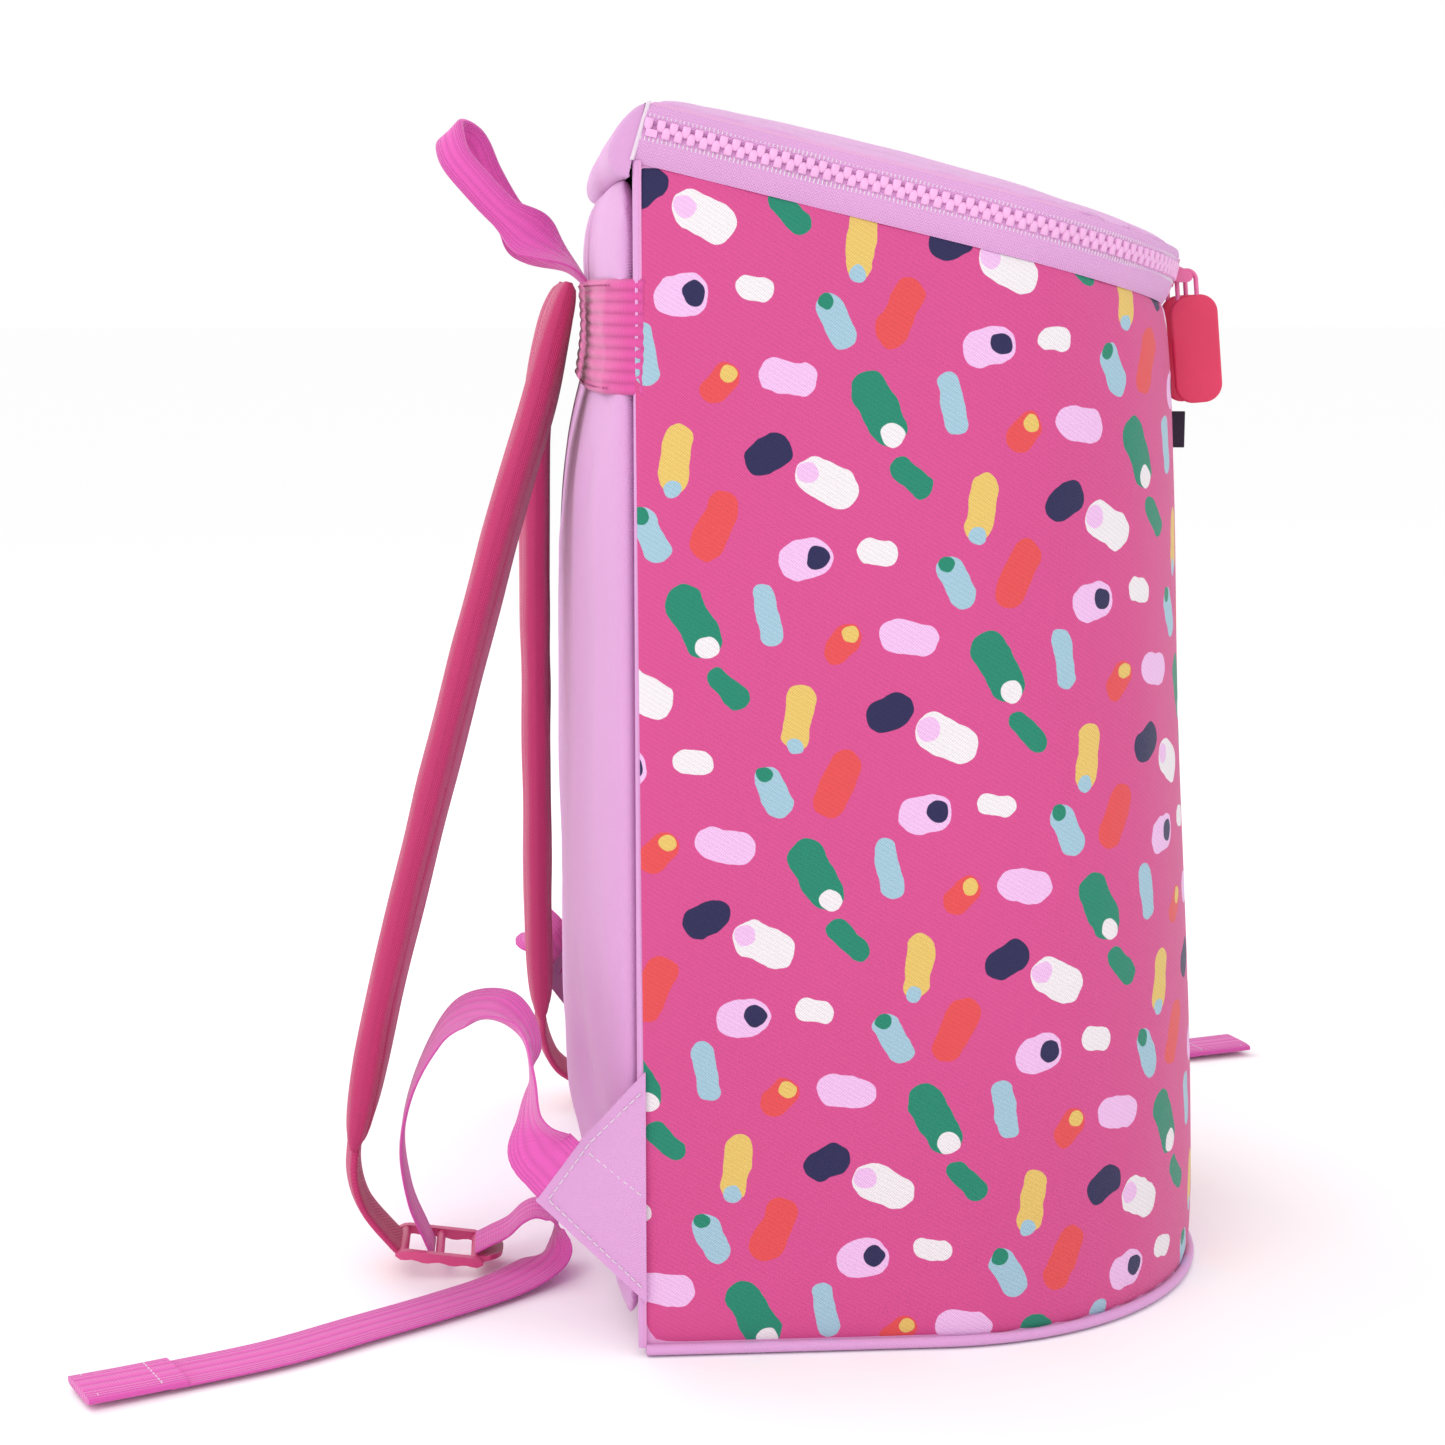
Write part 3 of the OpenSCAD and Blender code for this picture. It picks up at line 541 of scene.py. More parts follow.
class Route:
    # smooth path through given places, each with the direction across the strap
    def __init__(self, stops, steps=8):
        places = [Vector(p) * mm for p, a in stops]
        across = [Vector(a) for p, a in stops]
        last = len(stops) - 1
        self.frames = []
        for k in range(last * steps + 1):
            i, t = min(k // steps, last - 1), k / steps - min(k // steps, last - 1)
            near = [max(i - 1, 0), i, i + 1, min(i + 2, last)]
            place = spline(*(places[n] for n in near), t)
            side = spline(*(across[n] for n in near), t)
            self.frames.append([place, side])
        count = len(self.frames)
        self.lengths = [0.0]
        for k in range(1, count):
            self.lengths.append(self.lengths[-1] + (self.frames[k][0] - self.frames[k - 1][0]).length)
        self.length = self.lengths[-1]
        for k in range(count):
            ahead = (self.frames[min(k + 1, count - 1)][0] - self.frames[max(k - 1, 0)][0]).normalized()
            side = self.frames[k][1]
            side = (side - ahead * side.dot(ahead)).normalized()
            self.frames[k] = (self.frames[k][0], side, ahead.cross(side), ahead)

    def at(self, v):
        # place, across, out and ahead at a part v of the route's length
        far = v * self.length
        k = 0
        while k < len(self.lengths) - 2 and self.lengths[k + 1] < far:
            k += 1
        t = (far - self.lengths[k]) / max(self.lengths[k + 1] - self.lengths[k], 1e-9)
        return [a.lerp(b, t) for a, b in zip(self.frames[k], self.frames[k + 1])]


def swell(piece, held, pressure, cap, voxel, frames=20):
    # cloth simulation that fills a slack pad; held(place) keeps a vertex where it is
    applyModifier(piece, "remesh", "REMESH", mode="VOXEL", voxel_size=voxel)
    group = piece.vertex_groups.new(name="held")
    before = [v.co.copy() for v in piece.data.vertices]
    group.add([i for i, place in enumerate(before) if held(place)], 1.0, "REPLACE")
    pick(piece)
    modifier = piece.modifiers.new("stuffing", "CLOTH")
    fabric = modifier.settings
    fabric.vertex_group_mass = "held"
    fabric.use_pressure = True
    fabric.uniform_pressure_force = pressure
    fabric.effector_weights.gravity = 0
    fabric.tension_stiffness = fabric.compression_stiffness = 25
    fabric.bending_stiffness = 0.6
    modifier.point_cache.frame_end = frames
    scene = bpy.context.scene
    for step in range(1, frames + 1):
        scene.frame_set(step)
    filled = piece.evaluated_get(bpy.context.evaluated_depsgraph_get())
    after = [v.co.copy() for v in filled.data.vertices]
    piece.modifiers.remove(modifier)
    for vertex, start, end in zip(piece.data.vertices, before, after):
        move = end - start
        vertex.co = start + (move * (cap / move.length) if move.length > cap else move)
    scene.frame_set(1)
    applyModifier(piece, "even", "SMOOTH", factor=0.5, iterations=3)


def softUvs(piece, mapping):
    mesh = piece.data
    layer = mesh.uv_layers.active or mesh.uv_layers.new(name="UVMap")
    for loop in mesh.loops:
        layer.data[loop.index].uv = mapping(mesh.vertices[loop.vertex_index].co)


bag = {
    "slope": 13.5,         # degrees that the lid slopes down to the front
    "baseCorner": 118 * mm,
    "topCorner": 95 * mm,
    "bow": 2 * mm,
    "tapeLow": -12.2 * mm,    # edges of the zip's tapes, from the middle of the teeth
    "tapeHigh": 6.2 * mm,
}
slope = radians(bag["slope"])
baseLow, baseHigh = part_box("bottom_panel")
halfWide = baseHigh.x
backY = baseHigh.y
baseDepth = baseHigh.y - baseLow.y
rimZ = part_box("upper_zip_tape")[1].z - bag["tapeHigh"] * cos(slope)
topRun = (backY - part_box("lower_zip_tape")[0].y - bag["tapeLow"] * sin(slope)) / cos(slope)
topRun = round(topRun, 4)
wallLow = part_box("main_panel")[0].z
zipOut = Vector((0, sin(slope), -cos(slope)))


def onZip(x, y, z):
    # a place given in the zip's own plane, with y = 0 at the back seam
    return Vector((x, backY + y * cos(slope) - z * sin(slope), rimZ + y * sin(slope) + z * cos(slope)))


sideShare, arcShare = 0.125, 0.3     # parts of the outline's way round


def outline(k, depth, corner, off=0.0):
    # flat place and outward direction on the D, for k from 0 at the left back seam to 1 at the right one
    if k > 0.5:
        place, out = outline(1 - k, depth, corner, off)
        return (-place[0], place[1]), (-out[0], out[1])
    if k < sideShare:
        place, out = (-halfWide, -(depth - corner) * k / sideShare), (-1.0, 0.0)
    elif k < sideShare + arcShare:
        a = (k - sideShare) / arcShare * pi / 2
        out = (-cos(a), -sin(a))
        place = (-halfWide + corner + corner * out[0], -(depth - corner) + corner * out[1])
    else:
        t = (k - sideShare - arcShare) / (0.5 - sideShare - arcShare)
        place, out = (-(halfWide - corner) * (1 - t), -depth), (0.0, -1.0)
    return (place[0] + out[0] * off, place[1] + out[1] * off), out


def outlineLength(depth, corner):
    return 2 * (depth - corner) + pi * corner + 2 * (halfWide - corner)


def outlineWay(k, depth, corner):
    # distance along the outline from the middle of the front, less than 0 on the left
    side, arc = depth - corner, corner * pi / 2
    half = min(k, 1 - k)
    way = min(half / sideShare, 1) * side + min(max((half - sideShare) / arcShare, 0), 1) * arc
    way += max((half - sideShare - arcShare) / (0.5 - sideShare - arcShare), 0) * (halfWide - corner)
    total = outlineLength(depth, corner) / 2
    return (way - total) * (1 if k <= 0.5 else -1)


panel = {
    "cols": 240, "rows": 150,
    "thick": 1.4 * mm,
    "seamDepth": 1.6 * mm,     # how far the cloth is drawn in at its seams
    "wrinkle": 1.5 * mm,
    "tall": 420 * mm,          # about the wall's height
    "calm": 30 * mm,           # width beside the seams where the wrinkles fade
}


def wallPlace(k, t, off=0.0):
    low, lowOut = outline(k, baseDepth, bag["baseCorner"], off)
    high, highOut = outline(k, topRun, bag["topCorner"], off)
    a = Vector((low[0], backY + low[1], wallLow))
    b = onZip(high[0], high[1], bag["tapeLow"])
    out = Vector((lowOut[0] + highOut[0], lowOut[1] + highOut[1], 0)).normalized()
    return a.lerp(b, t), out


def panelPlace(u, v):
    place, out = wallPlace(u, v)
    toSeam = min(u, 1 - u) * outlineLength(baseDepth, bag["baseCorner"])
    toTop = (1 - v) * panel["tall"]
    toBase = v * panel["tall"]
    bow = bag["bow"] * 4 * v * (1 - v)
    tuck = exp(-toSeam / (2.2 * mm)) * 0.8 + exp(-toTop / (3 * mm)) + exp(-toBase / (5 * mm)) * 1.3
    slack = wander((place.x, place.y, place.z * 0.45), 0.07, panel["wrinkle"])
    slack += wander((place.x + 1, place.y, place.z * 0.25), 0.028, 0.35 * mm)
    ease = min(1, toSeam / panel["calm"]) * min(1, toTop / panel["calm"]) * min(1, toBase / panel["calm"])
    pucker = sin(outlineWay(u, topRun, bag["topCorner"]) / (7 * mm)) * exp(-toTop / (9 * mm)) * 0.25 * mm
    return place + out * (bow + slack * ease + pucker - tuck * panel["seamDepth"])


def makePanel():
    piece = makeSheet("printedPanel", panel["cols"], panel["rows"], panelPlace, (1, 1))
    uvs = piece.data.uv_layers.active.data
    for loop in piece.data.loops:
        u, v = uvs[loop.index].uv
        low = outlineWay(u, baseDepth, bag["baseCorner"])
        high = outlineWay(u, topRun, bag["topCorner"])
        place, out = wallPlace(u, v)
        uvs[loop.index].uv = (low + (high - low) * v, place.z)
    applyModifier(piece, "thickness", "SOLIDIFY", thickness=panel["thick"], offset=-1)
    shadeSmooth(piece)
    finishPiece(piece, printCloth, "bag", ["main_panel"])


makePanel()
print("the printed panel is made")


zipper = {
    "pitch": 4.4 * mm,
    "endSpace": 9 * mm,
    "stitch": (0.65 * mm, 2.0 * mm, 1.5 * mm),    # width, length and spacing of the tape's stitches
    "stitchAt": 3.1 * mm,                          # from the middle of the teeth
    "bulge": 1.1 * mm,
}
chainLength = outlineLength(topRun, bag["topCorner"])


def chainPlace(s, z, off):
    # place, along and out at distance s along the chain
    side, arc = topRun - bag["topCorner"], bag["topCorner"] * pi / 2
    half = min(s, chainLength - s)
    if half < side:
        k = half / side * sideShare
    elif half < side + arc:
        k = sideShare + (half - side) / arc * arcShare
    else:
        front = (half - side - arc) / (halfWide - bag["topCorner"])
        k = sideShare + arcShare + front * (0.5 - sideShare - arcShare)
    if s > chainLength / 2:
        k = 1 - k
    flat, out = outline(k, topRun, bag["topCorner"], off)
    place = onZip(flat[0], flat[1], z)
    outward = onZip(out[0], out[1], 0) - onZip(0, 0, 0)
    along = zipOut.cross(outward)
    return place, along, outward


def makeTape(name, low, high, body, node, dip):
    thick = 0.7 * mm

    def place(u, v):
        z = low + (high - low) * v
        off = zipper["bulge"] * sin(pi * v) * 0.9 - dip * (1 - v) ** 4 * mm
        spot, along, out = chainPlace(u * chainLength, z, off)
        return spot + out * wander(spot, 0.02, 0.25 * mm)

    piece = makeSheet(name, 280, 14, place, (chainLength, high - low), thick)
    finishPiece(piece, zipCloth, body, [node])


def modelTooth():
    # a moulded tooth: neck, shoulders and a rounded head, 28 faces or so
    clearSelection()
    bpy.ops.mesh.primitive_cube_add(size=1, scale=(2.9 * mm, 3.4 * mm, 3.0 * mm))
    bpy.ops.object.transform_apply(location=False, rotation=False, scale=True)
    tooth = bpy.context.object
    bpy.ops.object.mode_set(mode="EDIT")
    shape = bmesh.from_edit_mesh(tooth.data)
    for face in shape.faces:
        face.select = face.normal.z > 0.9
    bmesh.update_edit_mesh(tooth.data)
    bpy.ops.mesh.extrude_region_move(TRANSFORM_OT_translate={"value": (0, 0, 1.1 * mm)})
    bpy.ops.transform.resize(value=(0.44, 0.8, 1))
    bpy.ops.mesh.select_all(action="SELECT")
    bpy.ops.mesh.bevel(offset=0.35 * mm, segments=1, affect="EDGES")
    bpy.ops.object.mode_set(mode="OBJECT")
    return tooth


def makeTeeth(name, sign, shift, body, nodes):
    count = int((chainLength - 2 * zipper["endSpace"]) / zipper["pitch"])
    extra = 2 if sign > 0 else 0     # the upper row also fills the space beside the end stops
    places = []
    for i in range(-extra, count + extra - 1):
        s = zipper["endSpace"] + (i + shift) * zipper["pitch"]
        place, along, out = chainPlace(s, sign * 1.55 * mm, 0.2 * mm)
        places.append(facing(place, along, zipOut * sign))
    piece = repeated(name, modelTooth(), places)
    finishPiece(piece, toothPlastic, body, nodes)


def modelStitch(width, length, height=0.4 * mm):
    # a short thread that dips into the cloth at both ends
    clearSelection()
    bpy.ops.mesh.primitive_cylinder_add(vertices=6, radius=width / 2, depth=length, rotation=(0, pi / 2, 0))
    bpy.ops.object.transform_apply(location=False, rotation=True, scale=False)
    stitch = bpy.context.object
    bpy.ops.object.mode_set(mode="EDIT")
    bpy.ops.mesh.select_all(action="SELECT")
    bpy.ops.mesh.subdivide(number_cuts=1)
    bpy.ops.object.mode_set(mode="OBJECT")
    for vertex in stitch.data.vertices:
        vertex.co.z += height * (cos(vertex.co.x / length * pi) - 0.6)
    return stitch


def makeZipStitches(name, sign, body):
    width, length, spacing = zipper["stitch"]
    count = int(chainLength / spacing)
    places = []
    for i in range(count):
        across = sign * (zipper["stitchAt"] + 1.0 * mm)
        place, along, out = chainPlace((i + 0.5) * spacing, across, 0.75 * mm)
        places.append(facing(place, zipOut, out))
    piece = repeated(name, modelStitch(width, length), places)
    finishPiece(piece, threadCloth, body)


def makeZip():
    makeTape("lowerTape", bag["tapeLow"] - 0.6 * mm, 1.0 * mm, "bag", "lower_zip_tape", 0.9)
    makeTape("upperTape", 1.1 * mm, bag["tapeHigh"] + 1.4 * mm, "lid", "upper_zip_tape", 0)
    makeTeeth("lowerTeeth", -1, 0, "bag", ["lower_zip_teeth"])
    makeTeeth("upperTeeth", 1, 0.5, "lid", ["upper_zip_teeth"])
    makeZipStitches("lowerTapeStitches", -1, "bag")
    makeZipStitches("upperTapeStitches", 1, "lid")


makeZip()
print("the zip is made")


lid = {
    "rim": bag["tapeHigh"] + 2.2 * mm,
    "crown": 9 * mm,
    "middle": (0, -0.42),        # share of the run
    "pressure": 3.0, "cap": 6 * mm, "voxel": 4.5 * mm,
}


def lidPlace(u, v):
    # u goes round the closed D, v from the middle of the top over the rim to the middle underneath
    k = u * 1.2
    if k <= 1:
        flat, out = outline(k, topRun, bag["topCorner"], -0.6 * mm)
        flat = (flat[0], min(flat[1], -0.3 * mm))
    else:
        flat = (halfWide * (1 - (k - 1) / 0.2 * 2) * 0.995, -0.3 * mm)
    t = abs(v - 0.5) * 2
    middleY = lid["middle"][1] * topRun
    share = max(0.0, 1 - t * 0.995)
    spread = share ** 0.5
    x, y = flat[0] * spread, middleY + (flat[1] - middleY) * spread
    inner = 1 - spread
    if v < 0.5:
        z = lid["rim"] + lid["crown"] * sqrt(max(0.0, 1 - (1 - inner) ** 3)) - 1 * mm
    else:
        z = lid["rim"] - 2.2 * mm - 4.2 * mm * sqrt(inner)
    return onZip(x, y, z)


def makeLid():
    piece = makeSheet("lidCushion", 120, 60, lidPlace, (1, 1), wraps=True)
    low = lid["rim"] - 1.0 * mm

    def height(place):
        return (place - onZip(0, 0, 0)).dot(-zipOut)

    swell(piece, lambda p: height(p) < low, lid["pressure"], lid["cap"], lid["voxel"])
    applyModifier(piece, "fine", "SUBSURF", levels=1, render_levels=1)
    for vertex in piece.data.vertices:
        p = vertex.co
        if height(p) > low:
            slack = wander((p.x, p.y * 1.6, 0), 0.045, 0.9 * mm) + wander(p, 0.018, 0.25 * mm)
            vertex.co = p - zipOut * slack
    recalculate(piece)
    shadeSmooth(piece, 80)
    softUvs(piece, lambda p: (p.x, p.y + (p.z if abs(p.x) > halfWide - 0.02 else 0)))
    finishPiece(piece, paleCloth, "lid", ["lid_panel", "lid_foam"])


back = {
    "low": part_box("back_foam")[0].z, "high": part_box("back_foam")[1].z,
    "out": 18.5 * mm, "dent": 6 * mm,
    "pressure": 3.0, "cap": 6 * mm, "voxel": 5 * mm,
    "folds": 2.2 * mm,
}
bandLow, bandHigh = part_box("anchor_band")
bandMiddle = (bandLow.z + bandHigh.z) / 2


def padBulge(x, z, out):
    middle, half = (back["low"] + back["high"]) / 2, (back["high"] - back["low"]) / 2
    s, t = min(abs(x) / halfWide, 1), min(abs(z - middle) / half, 1)
    edge = (1 - s ** 4) * (1 - t ** 5)
    dent = back["dent"] * exp(-((z - bandMiddle) / (30 * mm)) ** 2)
    return out * sqrt(max(0, 1 - t ** 5)) * sqrt(max(0, 1 - s ** 4)) - dent * edge


def backPlace(u, v):
    z = back["low"] + (back["high"] - back["low"]) * (0.5 - 0.5 * cos(pi * min(v / 0.5, 2 - v / 0.5)))
    x = -halfWide * cos(pi * u) * 0.997
    if v > 0.5:
        return Vector((x, backY + 1.2 * mm, z))
    return Vector((x, backY + 2.4 * mm + padBulge(x, z, back["out"]), z))


def makeBack():
    piece = makeSheet("backCushion", 80, 160, backPlace, (1, 1), wraps=False)
    closeBack(piece)

    def held(place):
        atBand = abs(place.z - bandMiddle) < 17 * mm
        atSeam = place.y < backY + 4 * mm
        return atBand or atSeam

    swell(piece, held, back["pressure"], back["cap"], back["voxel"])
    applyModifier(piece, "fine", "SUBSURF", levels=1, render_levels=1)
    for vertex in piece.data.vertices:
        p = vertex.co
        share = min(1, max(0, (p.y - backY - 5 * mm) / (10 * mm)))
        clear = min(1, max(0, (abs(p.z - bandMiddle) - 19 * mm) / (25 * mm)))
        fold = wander((p.x * 2.4, 0, p.z * 0.35), 0.05, back["folds"]) + wander(p, 0.03, 0.4 * mm)
        vertex.co.y += fold * share * clear
    recalculate(piece)
    shadeSmooth(piece, 80)
    softUvs(piece, lambda p: (p.x - (p.y if p.x > 0 else -p.y), p.z))
    finishPiece(piece, paleCloth, "bag", ["back_panel", "back_foam"])


def closeBack(piece):
    # the two faces meet round the edge
    pick(piece)
    bpy.ops.object.mode_set(mode="EDIT")
    bpy.ops.mesh.select_all(action="SELECT")
    bpy.ops.mesh.remove_doubles(threshold=1e-5)
    bpy.ops.mesh.select_all(action="DESELECT")
    bpy.ops.mesh.select_non_manifold(extend=False)
    bpy.ops.mesh.fill_holes(sides=0)
    bpy.ops.mesh.edge_face_add()
    bpy.ops.mesh.select_all(action="SELECT")
    bpy.ops.mesh.quads_convert_to_tris()
    bpy.ops.mesh.normals_make_consistent(inside=False)
    bpy.ops.object.mode_set(mode="OBJECT")


makeLid()
print("the lid is padded")
makeBack()
print("the back is padded")


webWide, webThick = 25 * mm, 1.6 * mm


def makeBand(name, route, width, thick, rows, cols=28, shape=None):
    # a flat woven band with rounded edges; width and thick follow the part v of its length
    def place(u, v):
        spot, across, out, ahead = route.at(v)
        a = 2 * pi * u
        e, h = cos(a), sin(a)
        e = (abs(e) ** 0.45) * (1 if e > 0 else -1)
        h = (abs(h) ** 0.6) * (1 if h > 0 else -1)
        extra = shape(v, e) if shape else 0
        return spot + across * (e * width(v) / 2) + out * (h * thick(v) / 2 + extra)

    piece = makeSheet(name, cols, rows, place, (1, route.length), wraps=True)
    uvs = piece.data.uv_layers.active.data
    for loop in piece.data.loops:
        u, v = uvs[loop.index].uv
        uvs[loop.index].uv = ((cos(2 * pi * u) * 0.5 + 0.5) * webWide, v)
    return piece


straps = {
    "width": 56 * mm, "endWidth": 40 * mm,
    "thick": 13 * mm, "edge": 2.6 * mm,
    "seam": 0.70,            # place of the sewn line, as a share of half the width
    "seamDepth": 1.0 * mm,
    "rows": 150, "cols": 64,
}
strapRoutes = {
    "left": [((-62, 138, 390), (1, 0, 0)), ((-62, 143, 372), (1, -0.02, 0)),
             ((-61, 151, 340), (1, -0.06, 0)), ((-60, 166, 290), (1, -0.09, 0)),
             ((-57, 190, 200), (1, -0.1, 0)), ((-54, 213, 110), (1, -0.1, 0)),
             ((-52, 224, 56), (1, -0.04, 0))],
    "right": [((62, 138, 390), (1, 0, 0)), ((63, 143, 372), (1, 0, -0.05)), ((70, 149, 340), (1, 0, 0.15)),
              ((86, 151, 280), (1, 0, 0.25)), ((110, 151, 200), (1, 0, 0.3)), ((138, 151, 110), (1, 0, 0.3)),
              ((154, 150, 56), (1, 0, 0.25))],
}
tabRoutes = {
    "left": [((-52, 224, 62), (1, 0, 0)), ((-52, 226, 44), (1, 0, 0)), ((-51, 222, 28), (1, 0, 0)),
             ((-51, 211.5, 14), (1, 0, 0)), ((-51, 206.5, 9), (1, 0, 0))],
    "right": [((152, 150, 62), (1, 0, 0.25)), ((159, 150, 42), (1, 0, 0.2)), ((166, 144, 24), (1, 0, 0.1)),
              ((171, 133, 13), (1, 0, 0)), ((171.5, 125.5, 8), (1, 0, 0))],
}
webRoutes = {
    "left": [((-151, 143, 69), (0, 0.6, -0.8)), ((-151.5, 148, 75), (0, 0.6, -0.8)),
             ((-151, 152.5, 80.5), (0.1, 0.64, -0.74)), ((-149.5, 155.5, 91.5), (0.9, 0.35, -0.35)),
             ((-146, 155, 106), (1, 0.05, -0.05)), ((-135, 158, 118), (1, 0.05, 0)),
             ((-112, 170, 122), (1, 0.05, 0.1)), ((-91, 186, 112), (1, 0.05, 0.1)),
             ((-74, 199, 87), (1, 0, 0)),
             ((-61, 206, 58), (1, 0, 0)), ((-53, 204, 32), (1, 0, 0)), ((-51, 198, 15), (1, 0, 0)),
             ((-51, 195, 8), (1, 0, 0))],
    "right": [((166, 137, 69), (0.35, 0.5, -0.8)), ((172.3, 142.6, 75.5), (0.35, 0.5, -0.8)),
              ((176, 146, 80), (0.35, 0.5, -0.8)), ((186, 151, 82), (0.3, 0.3, -0.9)),
              ((195, 147, 70), (0.9, 0, -0.4)), ((195, 136, 50), (1, 0, 0)), ((184, 122, 32), (1, 0, 0)),
              ((175.5, 114.8, 19), (1, 0, 0)), ((173.4, 112, 13.8), (1, 0, 0))],
}
tailRoutes = {
    "left": [((-51, 178, 9.5), (1, 0, 0)), ((-51, 172, 12.5), (1, 0, 0)), ((-51, 165, 16), (1, 0, 0)),
             ((-51, 159, 21.5), (1, 0, 0)), ((-51, 153, 23.5), (1, 0, 0)), ((-52, 146.5, 20), (1, 0, 0)),
             ((-55, 146, 12.5), (1, 0.1, 0)), ((-63, 150, 6), (0.9, 0.3, 0)),
             ((-79, 166, 2.4), (0.8, 0.6, 0)),
             ((-98, 189, 2), (0.8, 0.6, 0)), ((-120, 219, 2), (0.8, 0.6, 0)),
             ((-143, 251, 2), (0.85, 0.5, 0)), ((-162, 289, 2), (0.87, 0.47, 0))],
    "right": [((172, 78, 4), (1, 0, 0)), ((172, 62, 3), (1, 0.1, 0)), ((176, 30, 2), (1, 0.2, 0)),
              ((192, -40, 2), (1, 0.27, 0)), ((212, -110, 2), (1, 0.27, 0)), ((231, -181, 2), (1, 0.27, 0))],
}


def makeStrap(side):
    route = Route(strapRoutes[side], 10)

    def place(u, v):
        spot, across, out, ahead = route.at(v)
        a = 2 * pi * u
        e = (abs(cos(a)) ** 0.75) * (1 if cos(a) > 0 else -1)
        up = 1 if sin(a) > 0 else -1
        full = sqrt(max(1 - e ** 4, 0)) * sqrt(max(1 - abs(2 * v - 1) ** 14, 0))
        half = (straps["edge"] + (straps["thick"] - straps["edge"]) * full) / 2 * min(1, abs(sin(a)) * 3)
        groove = exp(-((abs(e) - straps["seam"]) / 0.045) ** 2) * straps["seamDepth"]
        width = straps["width"] - (straps["width"] - straps["endWidth"]) * v * v
        slack = wander((spot.x, e * 0.02, spot.z * 0.7 + up), 0.022, 0.7 * mm) * (1 - e ** 4)
        ripple = sin(v * route.length / (9 * mm) + e * 2) * 0.25 * mm * (abs(e) > 0.6)
        rise = up * (max(half - groove, 0.2 * mm) + ripple * full) + slack
        return spot + across * (e * width / 2) + out * rise

    piece = makeSheet(f"strapPad_{side}", straps["cols"], straps["rows"], place,
                      (2 * straps["width"], route.length), wraps=True)
    shadeSmooth(piece, 75)
    finishPiece(piece, strapCloth, f"strap_{side}",
                [f"strap_top_{side}", f"strap_foam_{side}", f"strap_under_{side}"])


def makeTab(side):
    route = Route(tabRoutes[side], 8)
    piece = makeBand(f"strapTab_{side}", route, lambda v: 31 * mm - 4 * mm * v,
                     lambda v: 4.5 * mm - 1.2 * mm * v, 40,
                     shape=lambda v, e: 1.2 * mm * sin(e * 5) * (1 - v))
    finishPiece(piece, strapCloth, f"strap_{side}", [f"strap_tab_{side}"])


def makeWebbing(side):
    route = Route(webRoutes[side], 8)
    piece = makeBand(f"adjustWebbing_{side}", route, lambda v: webWide, lambda v: webThick, 150)
    finishPiece(piece, webbing, None, [f"webbing_{side}"])
    first, last = route.at(0.05)[0], route.at(0.97)[0]
    tuple(first)
    tuple(last)
    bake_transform(piece)


hem = {
    "stops": ((-6, 0.9), (8, 0.9), (20, 1.1), (30, 1.3)),    # (past the tail's end, lift), in millimetres
    "wide": 25.3 * mm, "thick": 3.4 * mm,
    "rows": (3, 26),                                         # of stitches
    "spacing": 2.8 * mm,
    "stitch": (0.6 * mm, 2.2 * mm),
}


def makeTail(side):
    route = Route(tailRoutes[side], 8)
    piece = makeBand(f"webbingTail_{side}", route, lambda v: webWide, lambda v: webThick, 160)
    finishPiece(piece, webbing, f"tail_{side}", [f"tail_{side}"])
    end, across, out, ahead = route.at(1.0)
    across.z = ahead.z = 0
    last, flat = end / mm, tuple(across)
    hemStops = [(tuple(last + ahead * far + Vector((0, 0, lift))), flat) for far, lift in hem["stops"]]
    fold = makeBand(f"tailHem_{side}", Route(hemStops, 6), lambda v: hem["wide"], lambda v: hem["thick"], 24)
    finishPiece(fold, webbing, f"tail_{side}", [f"tail_end_{side}"])
    places = []
    for row in hem["rows"]:
        for i in range(8):
            spot = end + ahead * row * mm + across * (i - 3.5) * hem["spacing"] + Vector((0, 0, 2.5 * mm))
            places.append(facing(spot, across, Vector((0, 0, 1))))
    sewn = repeated(f"hemStitches_{side}", modelStitch(*hem["stitch"]), places)
    finishPiece(sewn, threadCloth, f"tail_{side}")


for side in ("left", "right"):
    makeStrap(side)
    makeTab(side)
    makeWebbing(side)
    makeTail(side)
print("straps and webbing are made")


band = {
    "ribs": 10, "ribHeight": 0.5 * mm, "off": 3.4 * mm, "thick": 1.4 * mm,
    "reach": 1.004,          # as a share of half the bag's width
    "bulge": 20 * mm,
    "stitches": 86, "stitch": (0.6 * mm, 2.4 * mm), "fromEdge": 2.2 * mm,
    "clear": 36 * mm,        # half the room left beside the handle
}


def bandPlace(u, v):
    x = -halfWide * cos(pi * u) * band["reach"]
    z = bandLow.z + (bandHigh.z - bandLow.z) * v
    rib = abs(sin(pi * band["ribs"] * v)) * band["ribHeight"]
    side = abs(x) / halfWide
    gather = sin(z / (3.1 * mm)) * 0.8 * mm * max(0, side - 0.8) * 5
    edge = -0.9 * mm * exp(-min(v, 1 - v) * 40)
    wave = wander((x, z * 2, 0), 0.02, 0.6 * mm)
    rest = band["off"] * (1 - 0.8 * max(0, side - 0.9) * 10)
    loose = (gather + wave) * min(1, (band["reach"] - side) * 12)
    return Vector((x, backY + rest + padBulge(x, z, band["bulge"]) + rib + edge + loose, z))


